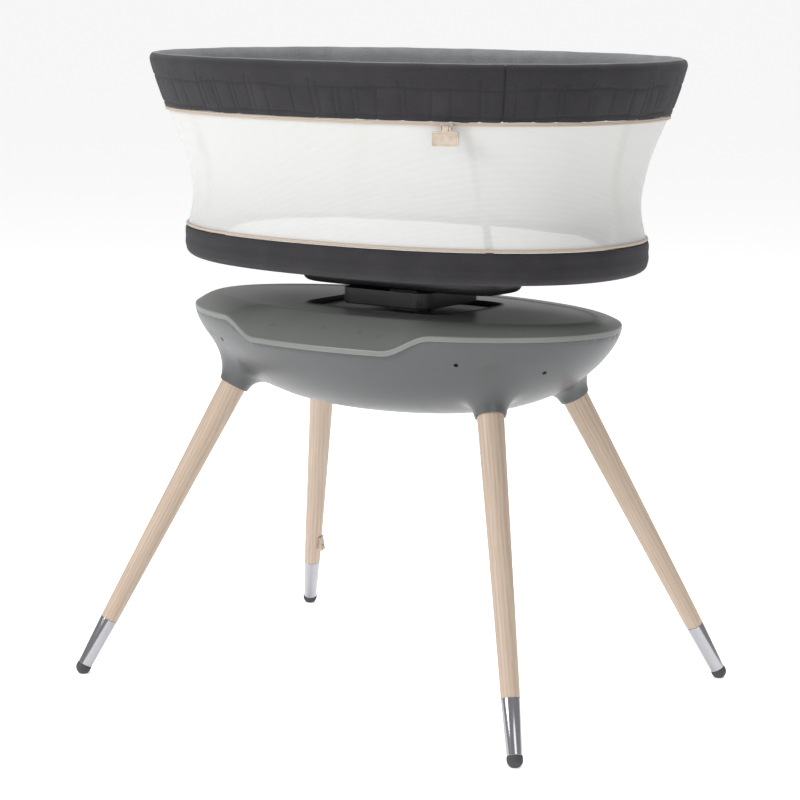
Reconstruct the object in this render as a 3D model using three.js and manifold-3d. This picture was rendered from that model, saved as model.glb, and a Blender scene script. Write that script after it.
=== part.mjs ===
// Powered bassinet on a four-legged stand, in millimetres, +Z up.
// The origin is on the floor, under the middle of the basket. X runs along the basket.
import * as THREE from 'three';
import { mergeVertices } from 'three/addons/utils/BufferGeometryUtils.js';
import Module from 'manifold-3d';

const wasm = await Module();
wasm.setup();

// ---- Driving dimensions -------------------------------------------------
const GAP = 0.3;                    // clearance between pieces that touch
const OVAL_SIDES = 36;              // sides of every oval section

// Stand
const FOOT_X = 400;
const FOOT_Y = 286.5;
const MOUTH_X = 236;                // where each leg enters its socket
const MOUTH_Y = 112;
const MOUTH_Z = 442;
const LEG_TOP_RADIUS = 19.5;
const FERRULE_TOP_RADIUS = 13.25;
const FERRULE_FOOT_RADIUS = 11;
const FERRULE_START = 16;           // distances along the leg from the floor
const FERRULE_END = 95;
const FERRULE_WALL = 1.2;
const SOCKET_DEPTH = 62;
const SOCKET_WALL = 3.2;
const BORE_CLEARANCE = 0.4;

// Base
const BASE_HALF_X = 359;
const BASE_HALF_Y = 227;
const BASE_POWER = 2;
const BASE_WALL = 3.5;
const SEAM_Z = 554;
const RIM_Z = 563;
const DECK_Z = 575;
const BOWL_BOTTOM_Z = 421;
const DECK_HALF_X = BASE_HALF_X - 31;
const DECK_HALF_Y = BASE_HALF_Y - 71;
const COVER_WALL = 3;
const LOBE_HALF = 187;              // the control lip at the front droops over this half-length
const LOBE_DROOP = 25;
const LOBE_BLEND = 70;
const OPENING_HALF_X = 130;
const OPENING_HALF_Y = 91;
const OPENING_POWER = 7;
const OPENING_Y = 5;
const OPENING_LIP = 2.6;
const SCREW_SPOTS = [[213, 166], [303, 76]];

// Travel
const GLIDE_PARK = 15;              // how far the parked carriage stands off the stand's middle
const GLIDE_HALF = 45;
const LIFT_TRAVEL = 35;

// Drive
const ROD_RADIUS = 6;
const ROD_Y = 70;
const ROD_Z = 532;
const ROD_HALF = 246;
const RAIL_PLATE = 10;
const BUSH_WALL = 2.8;
const RUNNING = 0.15;               // radial clearance of sliding fits
const CARRIAGE_HALF_X = 65;
const COLUMN_X = 50;
const COLUMN_Y = 40;
const COLUMN_BOTTOM_Z = 448;
const GUIDE_BOTTOM_Z = 470;
const GUIDE_WALL = 6;
const SHUTTER_Z = 565.5;
const SHUTTER_THICK = 2.5;
const GEAR_MODULE = 2;
const GLIDE_TEETH = 15;
const LIFT_TEETH = 12;
const BACKLASH = 0.5;

// Mount under the basket
const BLOCK_X = 142;
const BLOCK_Y = 132;
const BLOCK_Z = 578;
const HUB_Z = 602;
const HUB_X = 356;
const HUB_Y = 120;
const HUB_TOP_Z = 634;
const SHELL_WALL = 3;

// Basket
const BAND_Z = 636;
const BAND_TOP_Z = 684;
const RIM_HALF_X = 425;
const RIM_HALF_Y = 295;
const HIP_HALF_X = RIM_HALF_X - 26;
const HIP_HALF_Y = RIM_HALF_Y - 26;
const HIP_Z = 864;
const BAND_HALF_X = HIP_HALF_X - 26;
const BAND_HALF_Y = HIP_HALF_Y - 29;
const LOW_POWER = 2.24;
const WAIST_HALF_X = BAND_HALF_X - 11;
const WAIST_HALF_Y = BAND_HALF_Y - 11;
const WAIST_Z = 735;
const TOP_POWER = 2.3;
const TOTAL_HEIGHT = 950;
const FABRIC = 2.5;
const MESH_THICK = 1.6;
const PIPING = 4.6;
const TAPE_HEIGHT = 5;
const SLEEVE_INSIDE = 17;           // room for the frame tube between outer and inner fabric
const FRAME_RADIUS = 8;
const FRAME_Z = 931.5;
const STRUT_RADIUS = 6;
const MATTRESS_THICK = 32;
const BOARD_THICK = 4;

// Zip puller
const PULL_X = 227;                 // measured from the basket's middle
const PULL_WIDTH = 37;
const PULL_DROP = 20;

// ---- Materials ----------------------------------------------------------
const finish = (color, roughness, metalness = 0) =>
  new THREE.MeshStandardMaterial({ color, roughness, metalness });
const WOOD = finish('#d6bd9c', 0.55);
const CHROME = finish('#c9cacb', 0.12, 1);
const RUBBER = finish('#404143', 0.8);
const GREY_PLASTIC = finish('#7b7e7c', 0.42);
const DARK_PLASTIC = finish('#2b2b2c', 0.55);
const LIGHT_PLASTIC = finish('#c8c8c6', 0.4);
const STEEL = finish('#9a9c9e', 0.3, 1);
const CIRCUIT = finish('#28513a', 0.5);
const CHARCOAL = finish('#434245', 0.95);
const MESH_FABRIC = finish('#eeeeec', 0.9);
const TAN = finish('#c9a884', 0.7);
const WHITE_FABRIC = finish('#f1f0ec', 0.95);

// ---- Geometry helpers ---------------------------------------------------
const assembly = new THREE.Group();
assembly.position.x = -GLIDE_PARK;

function addPiece(name, geometry, material, parent = assembly) {
  const mesh = new THREE.Mesh(geometry, material);
  mesh.name = name;
  parent.add(mesh);
  return mesh;
}

// A ring of points on an oval, counter-clockwise seen from above. A height given as a
// function is asked for the height over the matching point of the base's rim.
function oval(halfX, halfY, z, power = 2, centreX = 0, centreY = 0, sides = OVAL_SIDES) {
  const ring = [];
  for (let i = 0; i < sides; i += 1) {
    const angle = (2 * Math.PI * (i + 0.5)) / sides;
    const c = Math.cos(angle);
    const s = Math.sin(angle);
    const alongX = Math.sign(c) * Math.abs(c) ** (2 / power);
    const alongY = Math.sign(s) * Math.abs(s) ** (2 / power);
    const height = typeof z === 'function' ? z(alongX * BASE_HALF_X, alongY * BASE_HALF_Y) : z;
    ring.push([centreX + halfX * alongX, centreY + halfY * alongY, height]);
  }
  return ring;
}

// Joins rings of equal count. Without caps the last ring joins the first.
function loft(rings, capped = true) {
  const count = rings[0].length;
  const points = rings.flat();
  const faces = [];
  const steps = capped ? rings.length - 1 : rings.length;
  for (let r = 0; r < steps; r += 1) {
    const low = r * count;
    const high = ((r + 1) % rings.length) * count;
    for (let i = 0; i < count; i += 1) {
      const j = (i + 1) % count;
      faces.push(low + i, low + j, high + j, low + i, high + j, high + i);
    }
  }
  if (capped) {
    const ends = [rings[0], rings[rings.length - 1]];
    ends.forEach((ring, end) => {
      const middle = [0, 1, 2].map((k) => ring.reduce((sum, p) => sum + p[k], 0) / count);
      const centre = points.push(middle) - 1;
      const start = end === 0 ? 0 : (rings.length - 1) * count;
      for (let i = 0; i < count; i += 1) {
        const j = (i + 1) % count;
        if (end === 0) faces.push(centre, start + j, start + i);
        else faces.push(centre, start + i, start + j);
      }
    });
  }
  const geometry = new THREE.BufferGeometry();
  geometry.setAttribute('position', new THREE.Float32BufferAttribute(points.flat(), 3));
  geometry.setIndex(faces);
  return geometry;
}

// A turned solid whose axis is +Z, from [radius, height] pairs.
function turned(profile, sides) {
  const outline = profile.map(([radius, height]) => new THREE.Vector2(radius, height));
  const geometry = new THREE.LatheGeometry(outline, sides);
  return geometry.rotateX(Math.PI / 2);
}

function rod(radius, length, sides = 12) {
  return turned([[0, 0], [radius, 0], [radius, length], [0, length]], sides);
}

function box(sizeX, sizeY, sizeZ, x, y, z) {
  return new THREE.BoxGeometry(sizeX, sizeY, sizeZ).translate(x, y, z + sizeZ / 2);
}

// A plate with rounded corners, standing on z.
function roundedPlate(sizeX, sizeY, radius, z, thick, x = 0, y = 0) {
  const shape = new THREE.Shape();
  const hx = sizeX / 2 - radius;
  const hy = sizeY / 2 - radius;
  shape.absarc(hx, hy, radius, 0, Math.PI / 2, false);
  shape.absarc(-hx, hy, radius, Math.PI / 2, Math.PI, false);
  shape.absarc(-hx, -hy, radius, Math.PI, 1.5 * Math.PI, false);
  shape.absarc(hx, -hy, radius, 1.5 * Math.PI, 2 * Math.PI, false);
  const options = { depth: thick, bevelEnabled: false, curveSegments: 4 };
  return new THREE.ExtrudeGeometry(shape, options).translate(x, y, z);
}

function toSolid(geometry) {
  const bare = geometry.clone();
  bare.deleteAttribute('normal');
  bare.deleteAttribute('uv');
  const merged = mergeVertices(bare, 1e-4);
  const index = Array.from(merged.index.array);
  const kept = [];
  for (let i = 0; i < index.length; i += 3) {
    const [a, b, c] = index.slice(i, i + 3);
    if (a !== b && b !== c && c !== a) kept.push(a, b, c);
  }
  return new wasm.Manifold(new wasm.Mesh({
    numProp: 3,
    vertProperties: new Float32Array(merged.attributes.position.array),
    triVerts: new Uint32Array(kept),
  }));
}

function toGeometry(solid) {
  const mesh = solid.getMesh();
  const geometry = new THREE.BufferGeometry();
  geometry.setAttribute('position', new THREE.BufferAttribute(mesh.vertProperties, 3));
  geometry.setIndex(new THREE.BufferAttribute(mesh.triVerts, 1));
  return geometry;
}

const join = (...pieces) => pieces.map(toSolid).reduce((sum, piece) => sum.add(piece));
const cut = (solid, ...tools) => tools.map(toSolid).reduce((rest, tool) => rest.subtract(tool), solid);

// Moves a turned piece onto a line from start towards end, a distance along it.
function alongLine(geometry, start, end, distance) {
  const direction = end.clone().sub(start).normalize();
  const turn = new THREE.Quaternion().setFromUnitVectors(new THREE.Vector3(0, 0, 1), direction);
  const place = start.clone().addScaledVector(direction, distance);
  return geometry.applyQuaternion(turn).translate(place.x, place.y, place.z);
}

// ---- Stand --------------------------------------------------------------
const CORNERS = [
  ['front_left', -1, -1],
  ['front_right', 1, -1],
  ['rear_right', 1, 1],
  ['rear_left', -1, 1],
];
const LEG_LENGTH = Math.hypot(FOOT_X - MOUTH_X, FOOT_Y - MOUTH_Y, MOUTH_Z);
const legEnds = (sx, sy) => [
  new THREE.Vector3(sx * FOOT_X, sy * FOOT_Y, 0),
  new THREE.Vector3(sx * MOUTH_X, sy * MOUTH_Y, MOUTH_Z),
];

function rubberFoot(foot, mouth) {
  const ball = 11.5;
  const middle = 10.8;
  const stem = 4;
  const profile = [[0, middle - ball]];
  for (let step = 1; step <= 3; step += 1) {
    const angle = (step * Math.PI) / 6;
    profile.push([ball * Math.sin(angle), middle - ball * Math.cos(angle)]);
  }
  const top = FERRULE_START - GAP;
  profile.push([FERRULE_FOOT_RADIUS, top], [stem, top], [stem, top + 8], [0, top + 8]);
  const domed = toSolid(alongLine(turned(profile, 12), foot, mouth, 0));
  return toGeometry(cut(domed, box(60, 60, 30, foot.x, foot.y, -30)));
}

function ferrule(foot, mouth) {
  const floor = FERRULE_START + 5;
  const hole = 4 + GAP;
  const inFoot = FERRULE_FOOT_RADIUS - FERRULE_WALL;
  const inTop = FERRULE_TOP_RADIUS - FERRULE_WALL;
  const profile = [
    [hole, FERRULE_START], [FERRULE_FOOT_RADIUS, FERRULE_START], [FERRULE_TOP_RADIUS, FERRULE_END],
    [inTop, FERRULE_END], [inFoot, floor], [hole, floor], [hole, FERRULE_START],
  ];
  return alongLine(turned(profile, 14), foot, mouth, 0);
}

function woodLeg(foot, mouth) {
  const tenonFoot = FERRULE_FOOT_RADIUS - FERRULE_WALL - GAP;
  const tenonTop = FERRULE_TOP_RADIUS - FERRULE_WALL - GAP;
  const start = FERRULE_START + 10;
  const shoulder = FERRULE_END + GAP;
  const top = LEG_LENGTH + SOCKET_DEPTH - GAP;
  const profile = [
    [0, start], [tenonFoot, start], [tenonTop, FERRULE_END - GAP], [tenonTop, shoulder],
    [FERRULE_TOP_RADIUS, shoulder], [LEG_TOP_RADIUS, LEG_LENGTH], [LEG_TOP_RADIUS, top], [0, top],
  ];
  return alongLine(turned(profile, 14), foot, mouth, 0);
}

for (const [corner, sx, sy] of CORNERS) {
  const [foot, mouth] = legEnds(sx, sy);
  addPiece(`rubber_foot_${corner}`, rubberFoot(foot, mouth), RUBBER);
  addPiece(`leg_ferrule_${corner}`, ferrule(foot, mouth), CHROME);
  addPiece(`wood_leg_${corner}`, woodLeg(foot, mouth), WOOD);
}

// The power inlet is a small wedge on the inner side of the rear left leg.
function powerInlet() {
  const [foot, mouth] = legEnds(-1, 1);
  const start = 128;
  const length = 26;
  const width = 13;
  const direction = mouth.clone().sub(foot).normalize();
  const inward = new THREE.Vector3(1, 0, 0).addScaledVector(direction, -direction.x).normalize();
  const side = direction.clone().cross(inward);
  const legRadius = (along) => THREE.MathUtils.mapLinear(
    along, FERRULE_END, LEG_LENGTH, FERRULE_TOP_RADIUS, LEG_TOP_RADIUS);
  const at = (along, out, across) => {
    const p = foot.clone().addScaledVector(direction, along);
    p.addScaledVector(inward, legRadius(along) + out).addScaledVector(side, across);
    return p.toArray();
  };
  const ring = (along, out) => [
    at(along, GAP, -width / 2), at(along, GAP, width / 2),
    at(along, out, width / 2 - 2), at(along, out, 2 - width / 2),
  ];
  const body = toSolid(loft([ring(start, 8), ring(start + length * 0.45, 8), ring(start + length, 2)]));
  const fixed = body.volume() > 0 ? body : toSolid(loft([ring(start + length, 2), ring(start, 8)]));
  const socketFrom = new THREE.Vector3(...at(start - 2, 4.2, 0));
  const socketTo = new THREE.Vector3(...at(start + 14, 4.2, 0));
  return toGeometry(cut(fixed, alongLine(rod(2.2, 13, 10), socketFrom, socketTo, 0)));
}
addPiece('power_inlet_housing', powerInlet(), WOOD);

// ---- Base ---------------------------------------------------------------
// How far the seam droops below its usual level at the front control lip.
function droop(x, y) {
  if (y >= 0) return 0;
  const inside = THREE.MathUtils.clamp((LOBE_HALF - Math.abs(x)) / LOBE_BLEND, 0, 1);
  return LOBE_DROOP * inside * inside * (3 - 2 * inside);
}

// The bowl's half-width as a share of its rim, at a height.
function bowlShare(z) {
  const depth = THREE.MathUtils.clamp((SEAM_Z - z) / (SEAM_Z - BOWL_BOTTOM_Z), 0, 0.99);
  return (1 - depth ** 1.31) ** (1 / 3.33);
}

function bowlSkin(inset) {
  const levels = inset > 0 ? [0, 0.3, 0.6, 0.85, 1] : [0, 0.14, 0.32, 0.52, 0.72, 0.88, 1];
  const bottom = BOWL_BOTTOM_Z + inset;
  const top = inset > 0 ? SEAM_Z + 1 : SEAM_Z;
  const rings = levels.map((level) => {
    const rim = oval(BASE_HALF_X, BASE_HALF_Y, 0, BASE_POWER);
    return rim.map(([x, y]) => {
      const start = top - droop(x, y);
      const z = start - (start - bottom) * level;
      const share = bowlShare(z - inset);
      return [x * share * (1 - inset / BASE_HALF_X), y * share * (1 - inset / BASE_HALF_Y), z];
    });
  });
  return loft(rings.reverse());
}

function socketFlare(foot, mouth) {
  const outside = LEG_TOP_RADIUS + SOCKET_WALL;
  const profile = [
    [0, 0], [outside, 0], [outside + 3, 9], [outside + 8, 19], [outside + 15, 29],
    [outside + 24, 38], [outside + 36, 47], [outside + 50, 53], [0, 53],
  ];
  return alongLine(turned(profile, 14), foot, mouth, LEG_LENGTH);
}

function baseBowl() {
  let bowl = toSolid(bowlSkin(0));
  const inner = toSolid(bowlSkin(BASE_WALL));
  const bores = [];
  const bosses = [];
  for (const [, sx, sy] of CORNERS) {
    const [foot, mouth] = legEnds(sx, sy);
    bowl = bowl.add(toSolid(socketFlare(foot, mouth)));
    const bossRadius = LEG_TOP_RADIUS + SOCKET_WALL + 0.8;
    bosses.push(alongLine(rod(bossRadius, SOCKET_DEPTH - 15, 12), foot, mouth, LEG_LENGTH + 20));
    const wide = LEG_TOP_RADIUS + BORE_CLEARANCE;
    bores.push(alongLine(rod(wide, SOCKET_DEPTH + 1, 14), foot, mouth, LEG_LENGTH - 1));
    for (const [x, y] of SCREW_SPOTS) {
      const top = SEAM_Z - droop(sx * x, sy * y) - GAP;
      const head = screwSeat(x, y);
      bosses.push(rod(6, top - head + 3, 6).translate(sx * x, sy * y, head - 3));
      bores.push(turned([[0, 0], [4.3, 0], [4.3, head - 460], [2.3, head - 460], [2.3, 120], [0, 120]], 6)
        .translate(sx * x, sy * y, 460));
    }
  }
  let shell = bowl.subtract(inner);
  for (const boss of bosses) shell = shell.add(toSolid(boss));
  return toGeometry(cut(shell, ...bores));
}

// Height of the seat under each bowl screw's head: a little above the bowl's skin there.
function screwSeat(x, y) {
  const share = Math.hypot(x / BASE_HALF_X, y / BASE_HALF_Y);
  const depth = (1 - share ** 3.33) ** (1 / 1.31);
  return SEAM_Z - depth * (SEAM_Z - BOWL_BOTTOM_Z) + 12;
}

addPiece('base_bowl', baseBowl(), GREY_PLASTIC);

// The cover runs from the rolled lip of its opening, over the deck and down to the seam.
function baseCover() {
  const opening = (grow, z) =>
    oval(OPENING_HALF_X + grow, OPENING_HALF_Y + grow, z, OPENING_POWER, 0, OPENING_Y);
  const base = (inset, z) => oval(BASE_HALF_X - inset, BASE_HALF_Y - inset, z, BASE_POWER);
  const lowered = (z, share) => (x, y) => z - share * droop(x, y);
  const under = DECK_Z - COVER_WALL;
  const linerRoom = 2.5;
  const rings = [
    opening(linerRoom, under),
    oval(DECK_HALF_X - 2, DECK_HALF_Y - 2, under, BASE_POWER),
    base(COVER_WALL + 3, lowered(RIM_Z - COVER_WALL, 0.85)),
    base(COVER_WALL, lowered(SEAM_Z + GAP, 1)),
    base(0, lowered(SEAM_Z + GAP, 1)),
    base(0, lowered(RIM_Z - 2, 1)),
    base(3, lowered(RIM_Z, 1)),
    oval((DECK_HALF_X + BASE_HALF_X) / 2, (DECK_HALF_Y + BASE_HALF_Y) / 2, lowered(570, 0.35), BASE_POWER),
    oval(DECK_HALF_X, DECK_HALF_Y, DECK_Z, BASE_POWER),
    opening(linerRoom + 3, DECK_Z),
    opening(linerRoom + 1.5, DECK_Z + OPENING_LIP),
    opening(linerRoom, DECK_Z + OPENING_LIP),
  ];
  const outside = toSolid(loft(rings.slice(4, 9)));
  let cover = toSolid(loft(rings, false));
  for (const [, sx, sy] of CORNERS) {
    for (const [x, y] of SCREW_SPOTS) {
      const bottom = SEAM_Z + 1 - droop(sx * x, sy * y);
      const hole = turned([[0, -1], [1.9, -1], [1.9, 7], [0, 7]], 8);
      const boss = toSolid(rod(5, DECK_Z - bottom, 8)).subtract(toSolid(hole));
      cover = cover.add(boss.translate([sx * x, sy * y, bottom]).intersect(outside));
    }
  }
  return toGeometry(cover);
}
addPiece('base_cover', baseCover(), GREY_PLASTIC);

function openingLiner() {
  const ring = (grow, z) =>
    oval(OPENING_HALF_X + grow, OPENING_HALF_Y + grow, z, OPENING_POWER, 0, OPENING_Y);
  const bottom = SHUTTER_Z + SHUTTER_THICK + 0.5;
  const flange = DECK_Z - COVER_WALL - GAP;
  return loft([
    ring(0, bottom), ring(10, bottom), ring(10, flange),
    ring(2.5 - GAP, flange), ring(2.5 - GAP, DECK_Z + 2), ring(0, DECK_Z + 2),
  ], false);
}
addPiece('opening_liner', openingLiner(), DARK_PLASTIC);

for (const [corner, sx, sy] of CORNERS) {
  SCREW_SPOTS.forEach(([x, y], spot) => {
    const seat = screwSeat(x, y);
    const profile = [
      [0, -3 - GAP], [3.5, -3 - GAP], [3.5, -GAP], [1.6, -GAP], [1.6, SEAM_Z - seat + 6],
      [0, SEAM_Z - seat + 6],
    ];
    const lower = droop(sx * x, sy * y);
    const shank = profile.map(([r, z]) => [r, z > 0 ? z - lower : z]);
    addPiece(`case_screw_${corner}_${spot + 1}`,
      turned(shank, 8).translate(sx * x, sy * y, seat), STEEL);
  });
}

// ---- Glide drive: two rods across the base, a motor and its pinion -------
for (const [side, sx] of [['left', -1], ['right', 1]]) {
  const top = DECK_Z - COVER_WALL - GAP;
  const middle = sx * (ROD_HALF - 5);
  const plate = toSolid(box(RAIL_PLATE, 2 * (ROD_Y + 15), top - ROD_Z + 12, middle, 0, ROD_Z - 12));
  const holes = [-1, 1].map((sy) => rod(ROD_RADIUS + 0.2, 30, 12).rotateY(Math.PI / 2)
    .translate(middle - 15, sy * ROD_Y, ROD_Z));
  addPiece(`rail_plate_${side}`, toGeometry(cut(plate, ...holes)), DARK_PLASTIC);
}
for (const [side, sy] of [['front', -1], ['rear', 1]]) {
  const bar = rod(ROD_RADIUS, 2 * ROD_HALF, 12).rotateY(Math.PI / 2)
    .translate(-ROD_HALF, sy * ROD_Y, ROD_Z);
  addPiece(`glide_rod_${side}`, bar, STEEL);
}

// A spur gear about +Z, with one tooth pointing along the given angle.
function gear(teeth, width, phase, shaftRadius, shaftLength) {
  const pitch = (GEAR_MODULE * teeth) / 2;
  const tip = pitch + 0.8 * GEAR_MODULE;
  const root = pitch - 1.1 * GEAR_MODULE;
  const toothAngle = (2 * Math.PI) / teeth;
  const half = toothAngle / 4 - BACKLASH / pitch;
  const shape = new THREE.Shape();
  for (let tooth = 0; tooth < teeth; tooth += 1) {
    const middle = phase + tooth * toothAngle;
    const corners = [[root, -1.55], [pitch, -1], [tip, -0.5], [tip, 0.5], [pitch, 1], [root, 1.55]];
    for (const [radius, share] of corners) {
      const angle = middle + share * half;
      const place = [radius * Math.cos(angle), radius * Math.sin(angle)];
      if (tooth === 0 && share === -1.55) shape.moveTo(...place);
      else shape.lineTo(...place);
    }
  }
  shape.closePath();
  const wheel = new THREE.ExtrudeGeometry(shape, { depth: width, bevelEnabled: false });
  return join(wheel, rod(shaftRadius, shaftLength + width, 10).translate(0, 0, -shaftLength));
}

// A straight rack along +X with its teeth towards +Y and its pitch line on Y = 0.
// A tooth space is centred on X = 0.
function rack(length, back, width) {
  const step = Math.PI * GEAR_MODULE;
  const tip = 0.8 * GEAR_MODULE;
  const root = -1.1 * GEAR_MODULE;
  const slope = Math.tan(THREE.MathUtils.degToRad(20));
  const half = step / 4 - BACKLASH;
  const spaces = Math.floor(length / step / 2);
  const shape = new THREE.Shape();
  const end = (spaces + 0.5) * step;
  shape.moveTo(-end, -back);
  shape.lineTo(end, -back);
  shape.lineTo(end, root);
  for (let tooth = spaces; tooth >= -spaces - 1; tooth -= 1) {
    const middle = (tooth + 0.5) * step;
    if (Math.abs(middle) + half + 1.5 > end) continue;
    shape.lineTo(middle + half - root * slope, root);
    shape.lineTo(middle + half - tip * slope, tip);
    shape.lineTo(middle - half + tip * slope, tip);
    shape.lineTo(middle - half + root * slope, root);
  }
  shape.lineTo(-end, root);
  shape.closePath();
  return new THREE.ExtrudeGeometry(shape, { depth: width, bevelEnabled: false });
}

const RACK_BACK = 9;
const RACK_PITCH_Y = 103;
const GLIDE_GEAR_Y = RACK_PITCH_Y + (GEAR_MODULE * GLIDE_TEETH) / 2;
const RACK_Z = 529.7;
const RACK_WIDTH = 10;
const BRACKET_Z = 520;

// The motor bracket hangs from the cover's underside. The shaft runs down through its floor.
function glideBracket() {
  const top = DECK_Z - COVER_WALL - GAP;
  const length = 2 * 32;
  const outer = toSolid(box(length, 44, top - BRACKET_Z, 0, 130, BRACKET_Z));
  const room = box(length - 8, 60, top - BRACKET_Z - 8, 0, 130, BRACKET_Z + 4);
  const shaft = rod(3.4, 20, 10).translate(0, GLIDE_GEAR_Y, BRACKET_Z - 5);
  return toGeometry(cut(outer, room, shaft));
}
addPiece('glide_bracket', glideBracket(), DARK_PLASTIC);
addPiece('glide_motor', toGeometry(cut(
  join(rod(17, 42, 16), rod(8, 3, 12).translate(0, 0, 41.5))
    .translate([0, GLIDE_GEAR_Y, BRACKET_Z - 44.5 - GAP]),
  rod(3.4, 20, 10).translate(0, GLIDE_GEAR_Y, BRACKET_Z - 14),
)), STEEL);
addPiece('glide_pinion', toGeometry(
  gear(GLIDE_TEETH, 8, -Math.PI / 2, 3, 20).translate([0, GLIDE_GEAR_Y, RACK_Z + 1])), DARK_PLASTIC);

// ---- Carriage: slides along the rods ------------------------------------
const PLATE_Z = RACK_Z + RACK_WIDTH + GAP;
const PLATE_THICK = 5;
const HOUSING_RADIUS = ROD_RADIUS + RUNNING + BUSH_WALL + 2.4;
const LIFT_GEAR_Z = 504;
const RACK_FACE = 9;
const LIFT_GEAR_X = GLIDE_PARK + COLUMN_X / 2 + RACK_FACE + (GEAR_MODULE * LIFT_TEETH) / 2;
const MOTOR_WALL_Y = 12;

function carriage() {
  const park = GLIDE_PARK;
  const guideX = COLUMN_X + 2 * (RUNNING + GUIDE_WALL);
  const guideY = COLUMN_Y + 2 * (RUNNING + GUIDE_WALL);
  const parts = [
    box(2 * CARRIAGE_HALF_X, 192, PLATE_THICK, park, 5, PLATE_Z),
    box(guideX, guideY, SHUTTER_Z - GAP - GUIDE_BOTTOM_Z, park, 0, GUIDE_BOTTOM_Z),
    box(26, 4, 42, LIFT_GEAR_X - 2, MOTOR_WALL_Y, LIFT_GEAR_Z - 18),
    box(42, 4, 24, LIFT_GEAR_X - 10, MOTOR_WALL_Y, PLATE_Z - 20),
  ];
  for (const sy of [-1, 1]) {
    parts.push(rod(HOUSING_RADIUS, 2 * CARRIAGE_HALF_X, 12).rotateY(Math.PI / 2)
      .translate(park - CARRIAGE_HALF_X, sy * ROD_Y, ROD_Z));
  }
  const bushRoom = ROD_RADIUS + RUNNING + BUSH_WALL + 0.2;
  const tools = [-1, 1].map((sy) => rod(bushRoom, 200, 12).rotateY(Math.PI / 2)
    .translate(park - 100, sy * ROD_Y, ROD_Z));
  tools.push(box(COLUMN_X + 2 * RUNNING, COLUMN_Y + 2 * RUNNING, 200, park, 0, 450));
  tools.push(box(RACK_FACE + 14, 12, 200, park + COLUMN_X / 2 + (RACK_FACE + 10) / 2 - 2, 0, 450));
  tools.push(rod(3.4, 20, 10).rotateX(-Math.PI / 2).translate(LIFT_GEAR_X, 5, LIFT_GEAR_Z));
  tools.push(box(36, 14, 40, LIFT_GEAR_X + 2, 0, LIFT_GEAR_Z - 20));
  return toGeometry(cut(join(...parts), ...tools));
}
addPiece('carriage', carriage(), DARK_PLASTIC);

for (const [place, sx, sy] of CORNERS) {
  const inner = ROD_RADIUS + RUNNING;
  const outer = inner + BUSH_WALL;
  const bush = turned([[inner, 0], [outer, 0], [outer, 18], [inner, 18], [inner, 0]], 12);
  const start = GLIDE_PARK + sx * (CARRIAGE_HALF_X - 9) - 9;
  addPiece(`glide_bush_${place}`, bush.rotateY(Math.PI / 2).translate(start, sy * ROD_Y, ROD_Z), STEEL);
}
const TOOTH_STEP = Math.PI * GEAR_MODULE;
const rackShift = Math.round(GLIDE_PARK / TOOTH_STEP) * TOOTH_STEP;
addPiece('glide_rack', rack(2 * GLIDE_HALF + 40, RACK_BACK, RACK_WIDTH)
  .translate(rackShift, RACK_PITCH_Y, RACK_Z), LIGHT_PLASTIC);

function shutterPlate() {
  const reachX = OPENING_HALF_X + GLIDE_HALF + 8;
  const reachY = OPENING_HALF_Y + 8;
  const plate = toSolid(roundedPlate(2 * reachX, 2 * reachY, 14, SHUTTER_Z, SHUTTER_THICK,
    GLIDE_PARK, OPENING_Y));
  const column = box(COLUMN_X + 2, COLUMN_Y + 2, 20, GLIDE_PARK, 0, SHUTTER_Z - 10);
  const rackX = GLIDE_PARK + COLUMN_X / 2 + RACK_FACE / 2;
  const rackRoom = box(RACK_FACE + 6, 12, 20, rackX, 0, SHUTTER_Z - 10);
  return toGeometry(cut(plate, column, rackRoom));
}
addPiece('shutter_plate', shutterPlate(), LIGHT_PLASTIC);

const alongY = (geometry, y) =>
  geometry.rotateX(-Math.PI / 2).translate(LIFT_GEAR_X, y, LIFT_GEAR_Z);
addPiece('lift_motor', toGeometry(cut(
  toSolid(alongY(rod(14.5, 44, 16), MOTOR_WALL_Y + 2 + GAP)),
  alongY(rod(3.4, 14, 10), MOTOR_WALL_Y),
)), STEEL);
const liftPinion = toGeometry(gear(LIFT_TEETH, 8, Math.PI, 3, 18));
addPiece('lift_pinion', liftPinion.rotateX(Math.PI / 2).translate(LIFT_GEAR_X, 4, LIFT_GEAR_Z),
  DARK_PLASTIC);

// ---- Lift: column, rack, block and hub ----------------------------------
function liftColumn() {
  const height = HUB_Z - GAP - COLUMN_BOTTOM_Z;
  const outer = toSolid(box(COLUMN_X, COLUMN_Y, height, GLIDE_PARK, 0, COLUMN_BOTTOM_Z));
  const hollow = box(COLUMN_X - 8, COLUMN_Y - 8, height, GLIDE_PARK, 0, COLUMN_BOTTOM_Z - 5);
  return toGeometry(cut(outer, hollow));
}
addPiece('lift_column', liftColumn(), STEEL);
const liftRackX = GLIDE_PARK + COLUMN_X / 2 + RACK_FACE;
addPiece('lift_rack', rack(60 + LIFT_TRAVEL / 2, RACK_FACE - GAP, 8)
  .rotateZ(-Math.PI / 2).rotateX(Math.PI / 2)
  .translate(liftRackX, 4, LIFT_GEAR_Z - 2 * TOOTH_STEP), LIGHT_PLASTIC);

function pedestalBlock() {
  const height = HUB_Z - GAP - BLOCK_Z;
  const outer = toSolid(roundedPlate(BLOCK_X, BLOCK_Y, 22, BLOCK_Z, height, GLIDE_PARK));
  const room = height + 5 - SHELL_WALL;
  const hollow = roundedPlate(BLOCK_X - 6, BLOCK_Y - 6, 19, BLOCK_Z - 5, room, GLIDE_PARK);
  const column = box(COLUMN_X + 2 * GAP, COLUMN_Y + 2 * GAP, 60, GLIDE_PARK, 0, BLOCK_Z - 20);
  return toGeometry(cut(outer, hollow, column));
}
addPiece('pedestal_block', pedestalBlock(), DARK_PLASTIC);

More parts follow.
